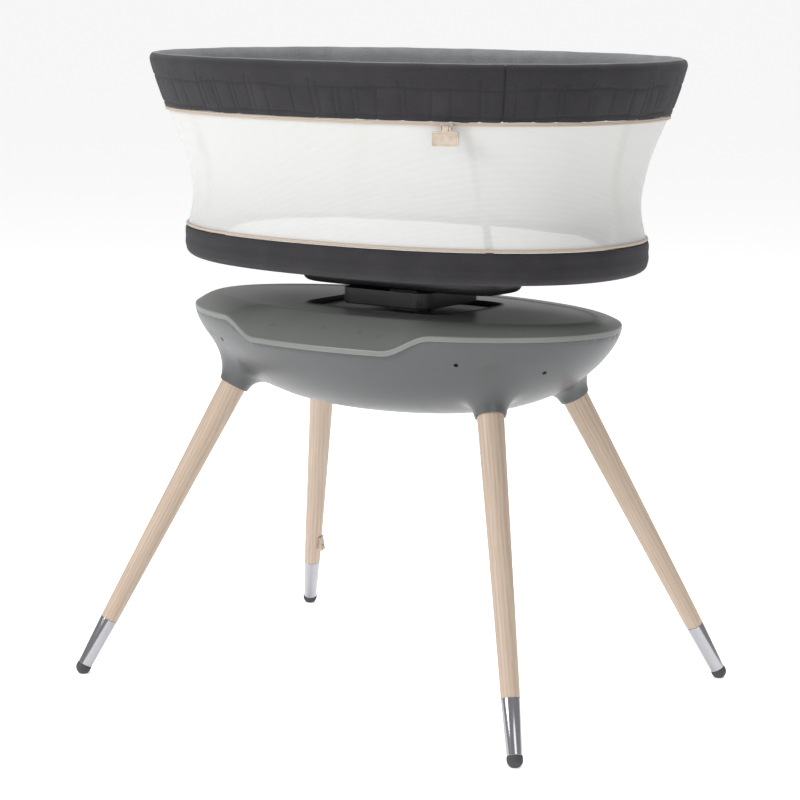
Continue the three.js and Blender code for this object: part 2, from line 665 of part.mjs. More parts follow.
function basketHub() {
  const level = (inset, z) => oval(HUB_X / 2 - inset, HUB_Y / 2 - inset, z, 5, GLIDE_PARK);
  const outer = toSolid(loft([
    level(10, HUB_Z), level(4, HUB_Z + 3), level(0, HUB_Z + 10), level(0, HUB_TOP_Z),
  ]));
  const hollow = loft([
    level(13, HUB_Z + 4), level(SHELL_WALL, HUB_Z + 12), level(SHELL_WALL, HUB_TOP_Z + 5),
  ]);
  const seat = toSolid(box(COLUMN_X + 20, COLUMN_Y + 20, HUB_TOP_Z - HUB_Z - 2, GLIDE_PARK, 0, HUB_Z + 2));
  return toGeometry(cut(outer, hollow).add(seat));
}
addPiece('basket_hub', basketHub(), DARK_PLASTIC);

// ---- Basket -------------------------------------------------------------
const low = (inset, z) => oval(BAND_HALF_X - inset, BAND_HALF_Y - inset, z, LOW_POWER, GLIDE_PARK);

function basketTray() {
  const under = BAND_Z + FABRIC + GAP;
  const side = FABRIC + GAP;
  const dish = loft([low(side + 22, under), low(side + 8, under + 2), low(side, under + 12),
    low(side, BAND_TOP_Z - 8)]);
  const room = loft([low(side + 24, under + 3), low(side + 10, under + 5), low(side + 3, under + 14),
    low(side + 3, BAND_TOP_Z)]);
  const pad = (z) => oval(HUB_X / 2 - 12, HUB_Y / 2 - 10, z, 5, GLIDE_PARK);
  const foot = loft([pad(HUB_TOP_Z + GAP), pad(under + 1)]);
  return toGeometry(cut(join(dish, foot), room));
}
addPiece('basket_tray', basketTray(), DARK_PLASTIC);

function lowerBand() {
  const cutout = (z) => oval(HUB_X / 2 - 10, HUB_Y / 2 - 8, z, 5, GLIDE_PARK);
  return loft([
    cutout(BAND_Z), low(18, BAND_Z), low(6, BAND_Z + 3), low(0, BAND_Z + 14), low(0, BAND_TOP_Z),
    low(FABRIC, BAND_TOP_Z), low(FABRIC, BAND_Z + 14), low(FABRIC + 6, BAND_Z + 4),
    low(FABRIC + 16, BAND_Z + FABRIC), cutout(BAND_Z + FABRIC),
  ], false);
}
addPiece('lower_band', lowerBand(), CHARCOAL);

// A soft cord swept round an oval.
function roundCord(halfX, halfY, z, radius, power, sides) {
  const rings = [];
  for (let i = 0; i < sides; i += 1) {
    const angle = (2 * Math.PI * i) / sides;
    const grow = radius * Math.cos(angle);
    rings.push(oval(halfX + grow, halfY + grow, z + radius * Math.sin(angle), power, GLIDE_PARK));
  }
  return loft(rings, false);
}
const pipingZ = BAND_TOP_Z + GAP + PIPING / 2;
addPiece('lower_piping',
  roundCord(BAND_HALF_X - 2, BAND_HALF_Y - 2, pipingZ, PIPING / 2, LOW_POWER, 6), TAN);

// The mesh wall draws in to a waist between the two bands.
function meshProfile(z) {
  const start = BAND_TOP_Z + PIPING;
  const bottom = [BAND_HALF_X - 3, BAND_HALF_Y - 3];
  const waist = [WAIST_HALF_X, WAIST_HALF_Y];
  const top = [HIP_HALF_X - 1, HIP_HALF_Y - 1];
  const below = z < WAIST_Z;
  const end = below ? bottom : top;
  const reach = below ? (WAIST_Z - z) / (WAIST_Z - start) : (z - WAIST_Z) / (HIP_Z - WAIST_Z);
  const power = THREE.MathUtils.mapLinear(z, start, HIP_Z, LOW_POWER, TOP_POWER);
  const bend = reach ** 1.7;
  return [...waist.map((half, k) => half + (end[k] - half) * bend), power];
}

function meshWall() {
  const start = BAND_TOP_Z + PIPING + 2 * GAP;
  const end = HIP_Z - TAPE_HEIGHT - 2 * GAP;
  const heights = [start, 705, WAIST_Z, 775, 815, end];
  const skin = (inset, z) => {
    const [halfX, halfY, power] = meshProfile(z);
    return oval(halfX - inset, halfY - inset, z, power, GLIDE_PARK);
  };
  const outside = heights.map((z) => skin(0, z));
  const inside = heights.map((z) => skin(MESH_THICK, z)).reverse();
  return loft([...outside, ...inside], false);
}
addPiece('mesh_wall', meshWall(), MESH_FABRIC);

const top = (inset, z, sides = OVAL_SIDES) => {
  const share = (z - HIP_Z) / (TOTAL_HEIGHT - 5 - HIP_Z);
  const halfX = HIP_HALF_X + (RIM_HALF_X - HIP_HALF_X) * share;
  const halfY = HIP_HALF_Y + (RIM_HALF_Y - HIP_HALF_Y) * share;
  return oval(halfX - inset, halfY - inset, z, TOP_POWER, GLIDE_PARK, 0, sides);
};

function zipTape() {
  const z = HIP_Z - GAP;
  const fine = 2 * OVAL_SIDES;
  const edge = [[3, z - TAPE_HEIGHT], [-0.5, z - TAPE_HEIGHT], [-0.5, z], [3, z]];
  return loft(edge.map(([inset, height]) => top(inset, height, fine)), false);
}
addPiece('zip_tape', zipTape(), TAN);

// A sleeve of quilted fabric over the frame tube, open at the bottom.
function upperBand() {
  const inner = FABRIC + SLEEVE_INSIDE;
  const innerHem = HIP_Z + 8;
  return loft([
    top(0, HIP_Z), top(0, 905), top(0, 941), top(3.5, 947), top(inner / 2 + 1, TOTAL_HEIGHT),
    top(inner - 1, 947), top(inner + FABRIC, 940), top(inner + FABRIC, innerHem), top(inner, innerHem),
    top(inner, 938), top(inner / 2 + 1, 945), top(FABRIC, 938), top(FABRIC, HIP_Z),
  ], false);
}
addPiece('upper_band', upperBand(), CHARCOAL);

function frameTube() {
  const share = (FRAME_Z - HIP_Z) / (TOTAL_HEIGHT - 5 - HIP_Z);
  const inset = FABRIC + SLEEVE_INSIDE / 2;
  const halfX = HIP_HALF_X + (RIM_HALF_X - HIP_HALF_X) * share - inset;
  const halfY = HIP_HALF_Y + (RIM_HALF_Y - HIP_HALF_Y) * share - inset;
  return roundCord(halfX, halfY, FRAME_Z, FRAME_RADIUS, TOP_POWER, 8);
}
addPiece('upper_frame_tube', frameTube(), STEEL);

// Side struts run inside the mesh wall from the tray's floor up to the frame tube.
// Each point's place along the basket follows the wall's half-length, 390 mm as drawn.
const STRUT_PATH = [
  [247, 156, 644.4], [254, 168, 690], [241, 170, 745], [242, 207, 850], [241, 219, 874], [241, 236.5, 921],
].map(([x, y, z]) => [(x * (RIM_HALF_X - 35)) / 390, y, z]);
for (const [corner, sx, sy] of CORNERS) {
  const curve = new THREE.CatmullRomCurve3(
    STRUT_PATH.map(([x, y, z]) => new THREE.Vector3(GLIDE_PARK + sx * x, sy * y, z)));
  const section = new THREE.Shape().absarc(0, 0, STRUT_RADIUS, 0, 2 * Math.PI, false);
  const options = { steps: 8, curveSegments: 4, extrudePath: curve, bevelEnabled: false };
  addPiece(`side_strut_${corner}`, new THREE.ExtrudeGeometry(section, options), LIGHT_PLASTIC);
}

const BOARD_Z = BAND_Z + FABRIC + 3 + 2 * GAP;
const bed = (inset, z) => oval(BAND_HALF_X - 47 - inset, BAND_HALF_Y - 52 - inset, z, 2.5, GLIDE_PARK);
addPiece('mattress_board', loft([bed(4, BOARD_Z), bed(4, BOARD_Z + BOARD_THICK)]), DARK_PLASTIC);
const MATTRESS_Z = BOARD_Z + BOARD_THICK + GAP;
addPiece('mattress', loft([
  bed(4, MATTRESS_Z), bed(0, MATTRESS_Z + 6), bed(0, MATTRESS_Z + MATTRESS_THICK - 6),
  bed(6, MATTRESS_Z + MATTRESS_THICK),
]), WHITE_FABRIC);

// ---- Zip puller ---------------------------------------------------------
const pullY = -HIP_HALF_Y * (1 - (PULL_X / HIP_HALF_X) ** TOP_POWER) ** (1 / TOP_POWER);
const slopeX = PULL_X ** (TOP_POWER - 1) / HIP_HALF_X ** TOP_POWER;
const slopeY = Math.abs(pullY) ** (TOP_POWER - 1) / HIP_HALF_Y ** TOP_POWER;
const PULL_TURN = Math.atan2(slopeX, slopeY);
const puller = new THREE.Group();
puller.position.set(GLIDE_PARK + PULL_X, pullY, HIP_Z);
puller.rotation.z = PULL_TURN;
assembly.add(puller);

// Inside this group -Y points straight out of the basket.
const EYE_Z = -8;
function zipSlider() {
  const body = box(18, 3.5, 9, 0, -2.8, -9.5);
  const ears = [-1, 1].map((side) => box(2.5, 6, 5, side * 6.5, -7.2, EYE_Z - 2));
  const pin = rod(1, 14, 8).rotateY(Math.PI / 2).translate(-7, -8.2, EYE_Z + 0.5);
  return toGeometry(join(body, ...ears, pin));
}
addPiece('zip_slider', zipSlider(), TAN, puller);

function pullTab() {
  const block = roundedPlate(PULL_WIDTH, PULL_DROP, 3, 0, 4).rotateX(Math.PI / 2)
    .translate(0, -6.2, EYE_Z - 4 - PULL_DROP / 2);
  const neck = box(9, 4, 8, 0, -8.2, EYE_Z - 5);
  const eye = rod(1.3, 30, 8).rotateY(Math.PI / 2).translate(-15, -8.2, EYE_Z + 0.5);
  return toGeometry(cut(join(block, neck), eye));
}
addPiece('pull_tab', pullTab(), TAN, puller);

// ---- Electronics --------------------------------------------------------
// The touch board lies along the underside of the control lip, at the lip's own slope.
function controlBoard() {
  const innerY = DECK_HALF_Y - 2;
  const outerY = BASE_HALF_Y - COVER_WALL - 3;
  const innerZ = DECK_Z - COVER_WALL;
  const outerZ = RIM_Z - COVER_WALL - 0.85 * LOBE_DROOP;
  const board = new THREE.BoxGeometry(0.418 * BASE_HALF_X, 24, 1.6);
  board.rotateX(Math.atan2(innerZ - outerZ, outerY - innerY));
  const below = 4.3;
  return board.translate(0, -(innerY + outerY) / 2, (innerZ + outerZ) / 2 - below);
}
addPiece('control_board', controlBoard(), CIRCUIT);

export default assembly;
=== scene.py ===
"""Dresses a powered bassinet on a four-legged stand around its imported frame."""

import math

import bmesh
import bpy
import numpy as np
from bpy.props import FloatProperty, FloatVectorProperty, IntProperty, PointerProperty
from mathutils import Matrix, Vector
from mathutils.bvhtree import BVHTree


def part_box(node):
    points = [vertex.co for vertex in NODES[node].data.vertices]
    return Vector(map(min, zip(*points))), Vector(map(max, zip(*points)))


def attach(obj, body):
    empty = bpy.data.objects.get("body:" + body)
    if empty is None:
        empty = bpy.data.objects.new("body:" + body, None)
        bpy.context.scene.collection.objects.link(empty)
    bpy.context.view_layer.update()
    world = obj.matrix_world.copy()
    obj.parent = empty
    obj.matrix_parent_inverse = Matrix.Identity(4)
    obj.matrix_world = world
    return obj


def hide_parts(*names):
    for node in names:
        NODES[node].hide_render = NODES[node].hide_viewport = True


bl_info = {
    "name": "Bassinet on Stand",
    "version": (1, 0, 0),
    "blender": (4, 5, 0),
    "location": "View3D > Sidebar > Bassinet",
    "description": "Builds the wooden legs, moulded base, fabric basket and mattress of a bassinet",
    "category": "Add Mesh",
}

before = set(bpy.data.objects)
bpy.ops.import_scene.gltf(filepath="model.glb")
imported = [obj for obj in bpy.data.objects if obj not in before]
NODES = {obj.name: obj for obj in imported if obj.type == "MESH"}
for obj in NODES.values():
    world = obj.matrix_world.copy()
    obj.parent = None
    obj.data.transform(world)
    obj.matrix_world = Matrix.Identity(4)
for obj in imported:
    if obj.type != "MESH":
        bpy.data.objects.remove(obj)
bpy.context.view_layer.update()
MM = 0.001
TURN = 2 * math.pi

# ---- Measures, in millimetres -------------------------------------------
# The basket stands on the frame's own middle and the stand a little to its left.


def node_box(name):
    """The lowest and highest corners of a frame part, in millimetres."""
    low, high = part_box(name)
    return low / MM, high / MM


COVER_LOW, COVER_HIGH = node_box("base_cover")
BOWL_HIGH = node_box("base_bowl")[1]
BAND_LOW, BAND_HIGH = node_box("lower_band")
TOP_LOW, TOP_HIGH = node_box("upper_band")
BLOCK_LOW, BLOCK_HIGH = node_box("pedestal_block")
HUB_LOW, HUB_HIGH = node_box("basket_hub")
STAND_X = (COVER_LOW.x + COVER_HIGH.x) / 2
BASE_X = (COVER_HIGH.x - COVER_LOW.x) / 2
BASE_Y = (COVER_HIGH.y - COVER_LOW.y) / 2
SEAM_Z = BOWL_HIGH.z
BOWL_BOTTOM_Z = 421
RIM_Z = SEAM_Z + 9
DECK_Z = SEAM_Z + 21
DECK_X, DECK_Y = 328, 156
OPENING_X, OPENING_Y, OPENING_MIDDLE, OPENING_POWER = 130, 91, 5, 7
SCREW_SPOTS = ((213, 166), (303, 76))

CORNERS = (("front_left", -1, -1), ("front_right", 1, -1), ("rear_right", 1, 1), ("rear_left", -1, 1))
FOOT_X, FOOT_Y = 400, 286.5
MOUTH = Vector((236, 112, 442))
LEG_TOP_RADIUS = 19.5
FERRULE_END_RADIUS = 13.25
FERRULE_START, FERRULE_END = 16, 95
SOCKET_DEPTH = 62

BAND_Z, BAND_TOP_Z = BAND_LOW.z, BAND_HIGH.z
BAND_X, BAND_Y, LOW_POWER = 373, 240, 2.24
WAIST_X, WAIST_Y, WAIST_Z = 362, 229, 735
HIP_X, HIP_Y, HIP_Z = 399, 269, TOP_LOW.z
RIM_X, RIM_Y, TOP_Z = 425, 295, TOP_HIGH.z
TOP_POWER = 2.3
SLEEVE = 19.5
CREST_Z = TOP_Z - 6   # the padded roll sits this much under the top of its CAD solid
ROLL_HEIGHT = 15
LIT_ROLL_START = 10     # how far outside the crest the lighter lining cloth begins; over the roll's top it is painted light
BAND_SEAMS = (0.89, 0.39)   # places of the two seams, as shares of the way round
BLOCK_MARGIN = 8      # the block's moulding is this much wider than its CAD solid, per side


# ---- Settings -----------------------------------------------------------
def colour(name, description, default):
    return FloatVectorProperty(name=name, description=description, default=default,
                               subtype="COLOR", min=0.0, max=1.0, size=3)


def length(name, description, default, low=0.0, high=10.0):
    return FloatProperty(name=name, description=description, default=default, min=low, max=high,
                         unit="LENGTH", subtype="DISTANCE")


class StandSettings(bpy.types.PropertyGroup):
    """Legs, tips and feet."""
    wood: colour("Wood", "Pale wood of the legs", (0.43, 0.340, 0.268))
    wood_dark: colour("Wood grain", "Darker streaks in the wood", (0.305, 0.228, 0.168))
    grain: length("Grain spacing", "Distance between grain lines", 0.0022, 0.0005, 0.02)
    metal: colour("Tip metal", "Polished metal of the leg tips", (0.36, 0.36, 0.38))
    rubber: colour("Foot rubber", "Rubber of the feet", (0.045, 0.045, 0.048))


class BaseSettings(bpy.types.PropertyGroup):
    """Moulded base and its drive."""
    plastic: colour("Base plastic", "Satin plastic of the bowl", (0.062, 0.065, 0.0665))
    # Painted light: the cover is the same grey plastic as the bowl, set lighter in tone to stand in for light
    # on its upward slopes.
    cover: colour("Cover plastic", "Satin plastic of the cover", (0.158, 0.167, 0.157))
    dark: colour("Dark plastic", "Block, hub and linings", (0.030, 0.030, 0.031))
    pale: colour("Pale plastic", "Side struts and racks", (0.50, 0.49, 0.33))
    lip_droop: length("Lip droop", "How far the front lip hangs below the seam", 0.025, 0.0, 0.03)
    lip_half: length("Lip half-length", "Half of the front lip's length", 0.187, 0.05, 0.3)
    voxel: length("Bowl detail", "Grid size of the bowl's blended surface", 0.0034, 0.002, 0.01)


class BasketSettings(bpy.types.PropertyGroup):
    """Fabric basket."""
    band: colour("Band fabric", "Charcoal fabric of both bands", (0.0255, 0.0238, 0.0268))
    # The lining's tone is far lighter than the band's: partly the lining's own grey, partly painted light on
    # the rolled rim and the lit inner wall.
    lining: colour("Lining fabric", "Charcoal fabric inside the rim", (0.110, 0.112, 0.116))
    net: colour("Net", "White net of the walls", (0.50, 0.50, 0.494))
    trim: colour("Trim", "Tan piping, tape and pull", (0.43, 0.355, 0.285))
    weave: length("Weave pitch", "Distance between threads of the charcoal fabric", 0.0009, 0.0003, 0.01)
    net_pitch: length("Net pitch", "Distance between holes of the net", 0.0021, 0.0005, 0.01)
    tuck: length("Tuck depth", "Depth of the stitched lines in the upper band", 0.0012, 0.0, 0.004)


class MattressSettings(bpy.types.PropertyGroup):
    """Mattress in the basket."""
    cloth: colour("Mattress cloth", "White cloth of the mattress", (0.66, 0.66, 0.64))
    swell: length("Swell", "The most that the cloth may swell", 0.009, 0.0, 0.03)
    detail: length("Mattress detail", "Grid size before the cloth swells", 0.006, 0.004, 0.02)
    steps: IntProperty(name="Cloth steps", description="Frames of swelling", default=20, min=2, max=40)


class StageSettings(bpy.types.PropertyGroup):
    """Camera, floor and lights."""
    floor: colour("Floor", "Plain pale floor", (0.93, 0.93, 0.93))
    lens: FloatProperty(name="Lens", description="Focal length", default=117.135, min=10, unit="CAMERA")
    distance: length("Distance", "From the camera to the middle of the bassinet", 3.922, 0.5, 20.0)
    azimuth: FloatProperty(name="Azimuth", description="Turn of the camera about the upright axis",
                           default=math.radians(35.93), subtype="ANGLE")
    pitch: FloatProperty(name="Pitch", description="Height of the camera above the horizon",
                         default=math.radians(9.5), subtype="ANGLE")
    roll: FloatProperty(name="Roll", description="Turn of the camera about its own view",
                        default=math.radians(0.27), subtype="ANGLE")
    key: FloatProperty(name="Key light", description="Power of the main soft light",
                       default=98, min=0, unit="POWER")


# ---- Materials ----------------------------------------------------------
class Value:
    """A socket in a material. An expression on values adds the Math nodes that work it out."""

    def __init__(self, shader, socket):
        self.shader, self.socket = shader, socket

    def _maths(self, operation, first, second):
        return self.shader.node("Math", {"operation": operation}, {0: first, 1: second})

    def __add__(self, other):
        return self._maths("ADD", self, other)

    def __sub__(self, other):
        return self._maths("SUBTRACT", self, other)

    def __rsub__(self, other):
        return self._maths("SUBTRACT", other, self)

    def __mul__(self, other):
        return self._maths("MULTIPLY", self, other)

    def __truediv__(self, other):
        return self._maths("DIVIDE", self, other)

    def __pow__(self, other):
        return self._maths("POWER", self, other)

    def __gt__(self, other):
        return self._maths("GREATER_THAN", self, other)

    __radd__ = __add__
    __rmul__ = __mul__

    def call(self, operation, other=0.0):
        """SINE, ABSOLUTE, MAXIMUM and the like."""
        return self._maths(operation, self, other)

    def smooth(self, low, high, start=0.0, end=1.0):
        """Eases from start to end as the value passes from low to high."""
        return self.shader.node("MapRange", {"interpolation_type": "SMOOTHSTEP"},
                                {0: self, 1: low, 2: high, 3: start, 4: end})


class Shader:
    """A material round one Principled surface."""

    def __init__(self, name, **fixed):
        self.material = bpy.data.materials.new(name)
        self.material.use_nodes = True
        self.tree = self.material.node_tree
        self.surface = next(n for n in self.tree.nodes if n.type == "BSDF_PRINCIPLED")
        for socket, value in fixed.items():
            self.surface.inputs[socket.replace("_", " ")].default_value = value

    def feed(self, socket, value):
        if isinstance(value, Value):
            self.tree.links.new(value.socket, socket)
        elif hasattr(socket.default_value, "__len__") and len(socket.default_value) == 4:
            socket.default_value = (*value[:3], 1.0)
        else:
            socket.default_value = value

    def node(self, kind, settings=None, sockets=None, output=0):
        """Adds a node: its settings first, then its sockets' values or links. Returns an output."""
        node = self.tree.nodes.new("ShaderNode" + kind)
        for name, value in (settings or {}).items():
            setattr(node, name, value)
        for name, value in (sockets or {}).items():
            self.feed(node.inputs[name], value)
        return Value(self, node.outputs[output])

    def place(self):
        return self.node("TexCoord", output="Object")

    def scaled(self, vector, scale, turn=(0.0, 0.0, 0.0)):
        return self.node("Mapping", sockets={"Vector": vector, "Scale": scale, "Rotation": turn})

    def parts(self, vector):
        first = self.node("SeparateXYZ", sockets={0: vector})
        outputs = first.socket.node.outputs
        return first, Value(self, outputs[1]), Value(self, outputs[2])

    def noise(self, vector, scale, detail=2.0, roughness=0.5):
        return self.node("TexNoise", sockets={
            "Vector": vector, "Scale": scale, "Detail": detail, "Roughness": roughness})

    def mix(self, amount, first, second, blend="MIX"):
        return self.node("Mix", {"data_type": "RGBA", "blend_type": blend},
                         {0: amount, 6: first, 7: second}, output=2)

    def bump(self, height, distance, strength=1.0, normal=None):
        sockets = {"Height": height, "Distance": distance, "Strength": strength}
        if normal is not None:
            sockets["Normal"] = normal
        return self.node("Bump", sockets=sockets)

    def set(self, **sockets):
        for name, value in sockets.items():
            self.feed(self.surface.inputs[name.replace("_", " ")], value)
        return self.material


def shade(rgb, factor):
    return tuple(min(1.0, c * factor) for c in rgb)


def threads(shader, uv, pitch):
    """A plain weave on a surface's own map, in metres: the height of its threads, from 0 to 1."""
    across, up, _ = shader.parts(uv)
    warp = (across * (math.pi / pitch)).call("SINE")
    weft = (up * (math.pi / pitch)).call("SINE")
    over = (warp * weft) > 0.0
    return over * warp.call("ABSOLUTE") + (1 - over) * weft.call("ABSOLUTE")


def wood_material(name, settings):
    s = Shader(name, Specular_IOR_Level=0.4)
    grain = s.node("Attribute", {"attribute_name": "grain"}, output="Vector")
    pitch = settings.grain
    wander = s.noise(s.scaled(grain, (9, 9, 3.2)), 1.0, 2.0)
    fine = s.noise(s.scaled(grain, (1 / pitch, 1 / pitch, 9)), 1.0, 4.0, 0.6)
    x, y, z = s.parts(grain)
    bands = ((x + y * 0.35 + wander * 0.022 + z * 0.008) * (TURN / (pitch * 2.6))).call("SINE")
    rings = (bands * 0.5 + 0.5) ** 2.0
    pores = s.noise(s.scaled(grain, (2400, 2400, 46)), 1.0, 2.0, 0.7).smooth(0.60, 0.74)
    tone = fine * 0.62 + rings * 0.15
    light = shade(settings.wood, 1.07)
    body = s.mix(tone.smooth(0.12, 0.72), light, settings.wood_dark)
    body = s.mix(wander.smooth(0.35, 0.7) * 0.30, body, settings.wood)
    body = s.mix(pores * 0.35, body, shade(settings.wood_dark, 0.62))
    relief = fine * 0.5 + rings * 0.3 - pores * 0.6
    return s.set(Base_Color=body, Roughness=fine.smooth(0.3, 0.7, 0.44, 0.58),
                 Normal=s.bump(relief, 0.00012, 0.5))


def metal_material(name, tone, rough=0.13, brushed=0.05):
    s = Shader(name, Metallic=1.0)
    place = s.place()
    lines = s.noise(s.scaled(place, (900, 900, 60)), 1.0, 2.0)
    marks = s.noise(place, 60.0, 3.0)
    return s.set(Base_Color=s.mix(marks * 0.25, tone, shade(tone, 0.82)),
                 Roughness=lines * brushed + marks * 0.05 + (rough - 0.05),
                 Normal=s.bump(lines, 0.00002, 0.25))


def rubber_material(name, tone):
    s = Shader(name, Specular_IOR_Level=0.35)
    place = s.place()
    grain = s.noise(place, 1400.0, 3.0)
    dust = s.noise(place, 45.0, 3.0).smooth(0.45, 0.75)
    return s.set(Base_Color=s.mix(dust * 0.35, tone, shade(tone, 1.9)),
                 Roughness=dust * 0.12 + 0.66, Normal=s.bump(grain, 0.0001, 0.5))


def moulded_material(name, tone, rough=0.38, texture=1100.0, coat=0.0):
    """Satin moulded plastic with a fine spark-textured skin."""
    s = Shader(name, Specular_IOR_Level=0.5, Coat_Roughness=0.25, Coat_Weight=coat)
    place = s.place()
    skin = s.node("TexVoronoi", {"feature": "SMOOTH_F1"}, {"Vector": place, "Scale": texture})
    flow = s.noise(place, 7.0, 4.0, 0.55)
    fleck = s.noise(place, 320.0, 2.0)
    body = s.mix(flow.smooth(0.3, 0.7), shade(tone, 0.965), shade(tone, 1.035))
    body = s.mix(fleck.smooth(0.55, 0.8) * 0.30, body, shade(tone, 0.84))
    return s.set(Base_Color=body, Roughness=flow * 0.08 + fleck * 0.06 + (rough - 0.07),
                 Normal=s.bump(skin * 0.7 + fleck * 0.5, 0.00006, 0.45))


def board_material(name):
    s = Shader(name, Specular_IOR_Level=0.5)
    x, y, _ = s.parts(s.place())
    lanes = (x * 900.0).call("SINE") * (y * 1400.0).call("SINE")
    green, copper = (0.016, 0.11, 0.05), (0.30, 0.27, 0.09)
    trace = lanes.smooth(0.35, 0.55)
    return s.set(Base_Color=s.mix(trace * 0.55, green, copper), Roughness=trace * -0.15 + 0.5,
                 Metallic=trace * 0.5, Normal=s.bump(trace, 0.00005, 0.6))


def cloth_material(name, tone, pitch, ribs=0.0, map_name="cloth"):
    """Woven melange fabric. Ribs add raised vertical cords, as in a knitted band."""
    s = Shader(name, Specular_IOR_Level=0.22, Sheen_Weight=0.09, Sheen_Roughness=0.5)
    s.surface.inputs["Sheen Tint"].default_value = (0.7, 0.7, 0.74, 1.0)
    uv = s.node("UVMap", {"uv_map": map_name})
    weave = threads(s, uv, pitch)
    melange = s.noise(s.scaled(uv, (1 / pitch, 0.4 / pitch, 1)), 1.0, 2.0, 0.6)
    patches = s.noise(uv, 16.0, 4.0, 0.6)
    across, _, _ = s.parts(uv)
    cords = (across * (TURN / 0.0034)).call("SINE") * 0.5 + 0.5
    body = s.mix(melange.smooth(0.32, 0.68), shade(tone, 0.62), shade(tone, 1.34))
    body = s.mix(weave.smooth(0.1, 0.75), shade(tone, 0.42), body)
    body = s.mix(patches.smooth(0.4, 0.72) * 0.28, body, shade(tone, 1.7))
    # Painted shade: the cloth is darkened along the stitched tucks, where the quilted band's creases fall
    # into shade.
    tuck = s.node("Attribute", {"attribute_name": "tuck"}, output="Fac")
    body = s.mix(tuck * 0.32, body, shade(tone, 0.40))
    if ribs:
        body = s.mix((1 - cords) * ribs, body, shade(tone, 0.55))
    relief = weave * 0.5 + melange * 0.35 + cords * (ribs * 2.0)
    return s.set(Base_Color=body, Roughness=melange * 0.10 + 0.82,
                 Normal=s.bump(relief, 0.00028, 0.75))


def net_material(name, tone, pitch):
    """A fine warp-knitted net: round holes in staggered rows, seen through a little."""
    s = Shader(name, Specular_IOR_Level=0.25, Sheen_Weight=0.25, Sheen_Roughness=0.5)
    uv = s.node("UVMap", {"uv_map": "cloth"})
    x, y, _ = s.parts(uv)
    turn = TURN / pitch
    cell = (x * turn).call("COSINE") * (y * (turn * 0.62)).call("COSINE")
    hole = cell.call("ABSOLUTE").smooth(0.50, 0.88)
    slub = s.noise(s.scaled(uv, (60, 500, 1)), 1.0, 3.0)
    # Painted shade: a soft noise darkens the net a little, as in the shade of folds.
    fold_shade = s.noise(s.scaled(uv, (9, 2.5, 1)), 1.0, 3.0, 0.55)
    body = s.mix(slub.smooth(0.35, 0.7) * 0.35, tone, shade(tone, 0.93))
    body = s.mix(fold_shade.smooth(0.45, 0.75) * 0.30, body, shade(tone, 0.95))
    return s.set(Base_Color=body, Roughness=slub * 0.1 + 0.8,
                 Alpha=1 - hole * 0.50, Normal=s.bump(1 - hole, 0.00015, 0.35))


def trim_material(name, tone, pitch=0.0011):
    """Herringbone tape or piping."""
    s = Shader(name, Specular_IOR_Level=0.3, Sheen_Weight=0.12, Sheen_Roughness=0.5)
    uv = s.node("UVMap", {"uv_map": "cloth"})
    x, y, _ = s.parts(uv)
    twill = ((x + y.call("PINGPONG", 0.0022)) * (TURN / pitch)).call("SINE") * 0.5 + 0.5
    wear = s.noise(uv, 90.0, 3.0)
    body = s.mix(twill, shade(tone, 0.80), shade(tone, 1.10))
    body = s.mix(wear.smooth(0.5, 0.8) * 0.35, body, shade(tone, 0.72))
    return s.set(Base_Color=body, Roughness=twill * 0.1 + 0.62, Normal=s.bump(twill, 0.00018, 0.7))


def hide_material(name, tone):
    """Smooth tan synthetic leather of the zip pull."""
    s = Shader(name, Specular_IOR_Level=0.4, Coat_Weight=0.05)
    place = s.place()
    pebble = s.node("TexVoronoi", {"feature": "F1"}, {"Vector": place, "Scale": 950.0})
    cloud = s.noise(place, 70.0, 3.0)
    return s.set(Base_Color=s.mix(cloud.smooth(0.35, 0.7), shade(tone, 1.10), shade(tone, 0.86)),
                 Roughness=cloud * 0.12 + 0.46, Normal=s.bump(pebble, 0.00009, 0.5))


def mattress_material(name, tone):
    s = Shader(name, Specular_IOR_Level=0.2, Sheen_Weight=0.2, Sheen_Roughness=0.6)
    x, y, z = s.parts(s.place())
    pitch = 0.0016
    weave = ((x * (TURN / pitch)).call("SINE") * (y * (TURN / pitch)).call("SINE")
             * (z * (TURN / pitch) + 1.57).call("SINE").call("ABSOLUTE"))
    diamonds = ((((x + y) * (math.pi / 0.05)).call("SINE").call("ABSOLUTE"))
                * (((x - y) * (math.pi / 0.05)).call("SINE").call("ABSOLUTE")))
    soft = s.noise(s.place(), 20.0, 3.0)
    body = s.mix(soft.smooth(0.3, 0.75) * 0.5, tone, shade(tone, 0.93))
    relief = s.bump(diamonds ** 0.4, 0.0022, 0.6)
    return s.set(Base_Color=body, Roughness=soft * 0.08 + 0.84,
                 Normal=s.bump(weave, 0.00018, 0.6, relief))


MATERIALS = {}


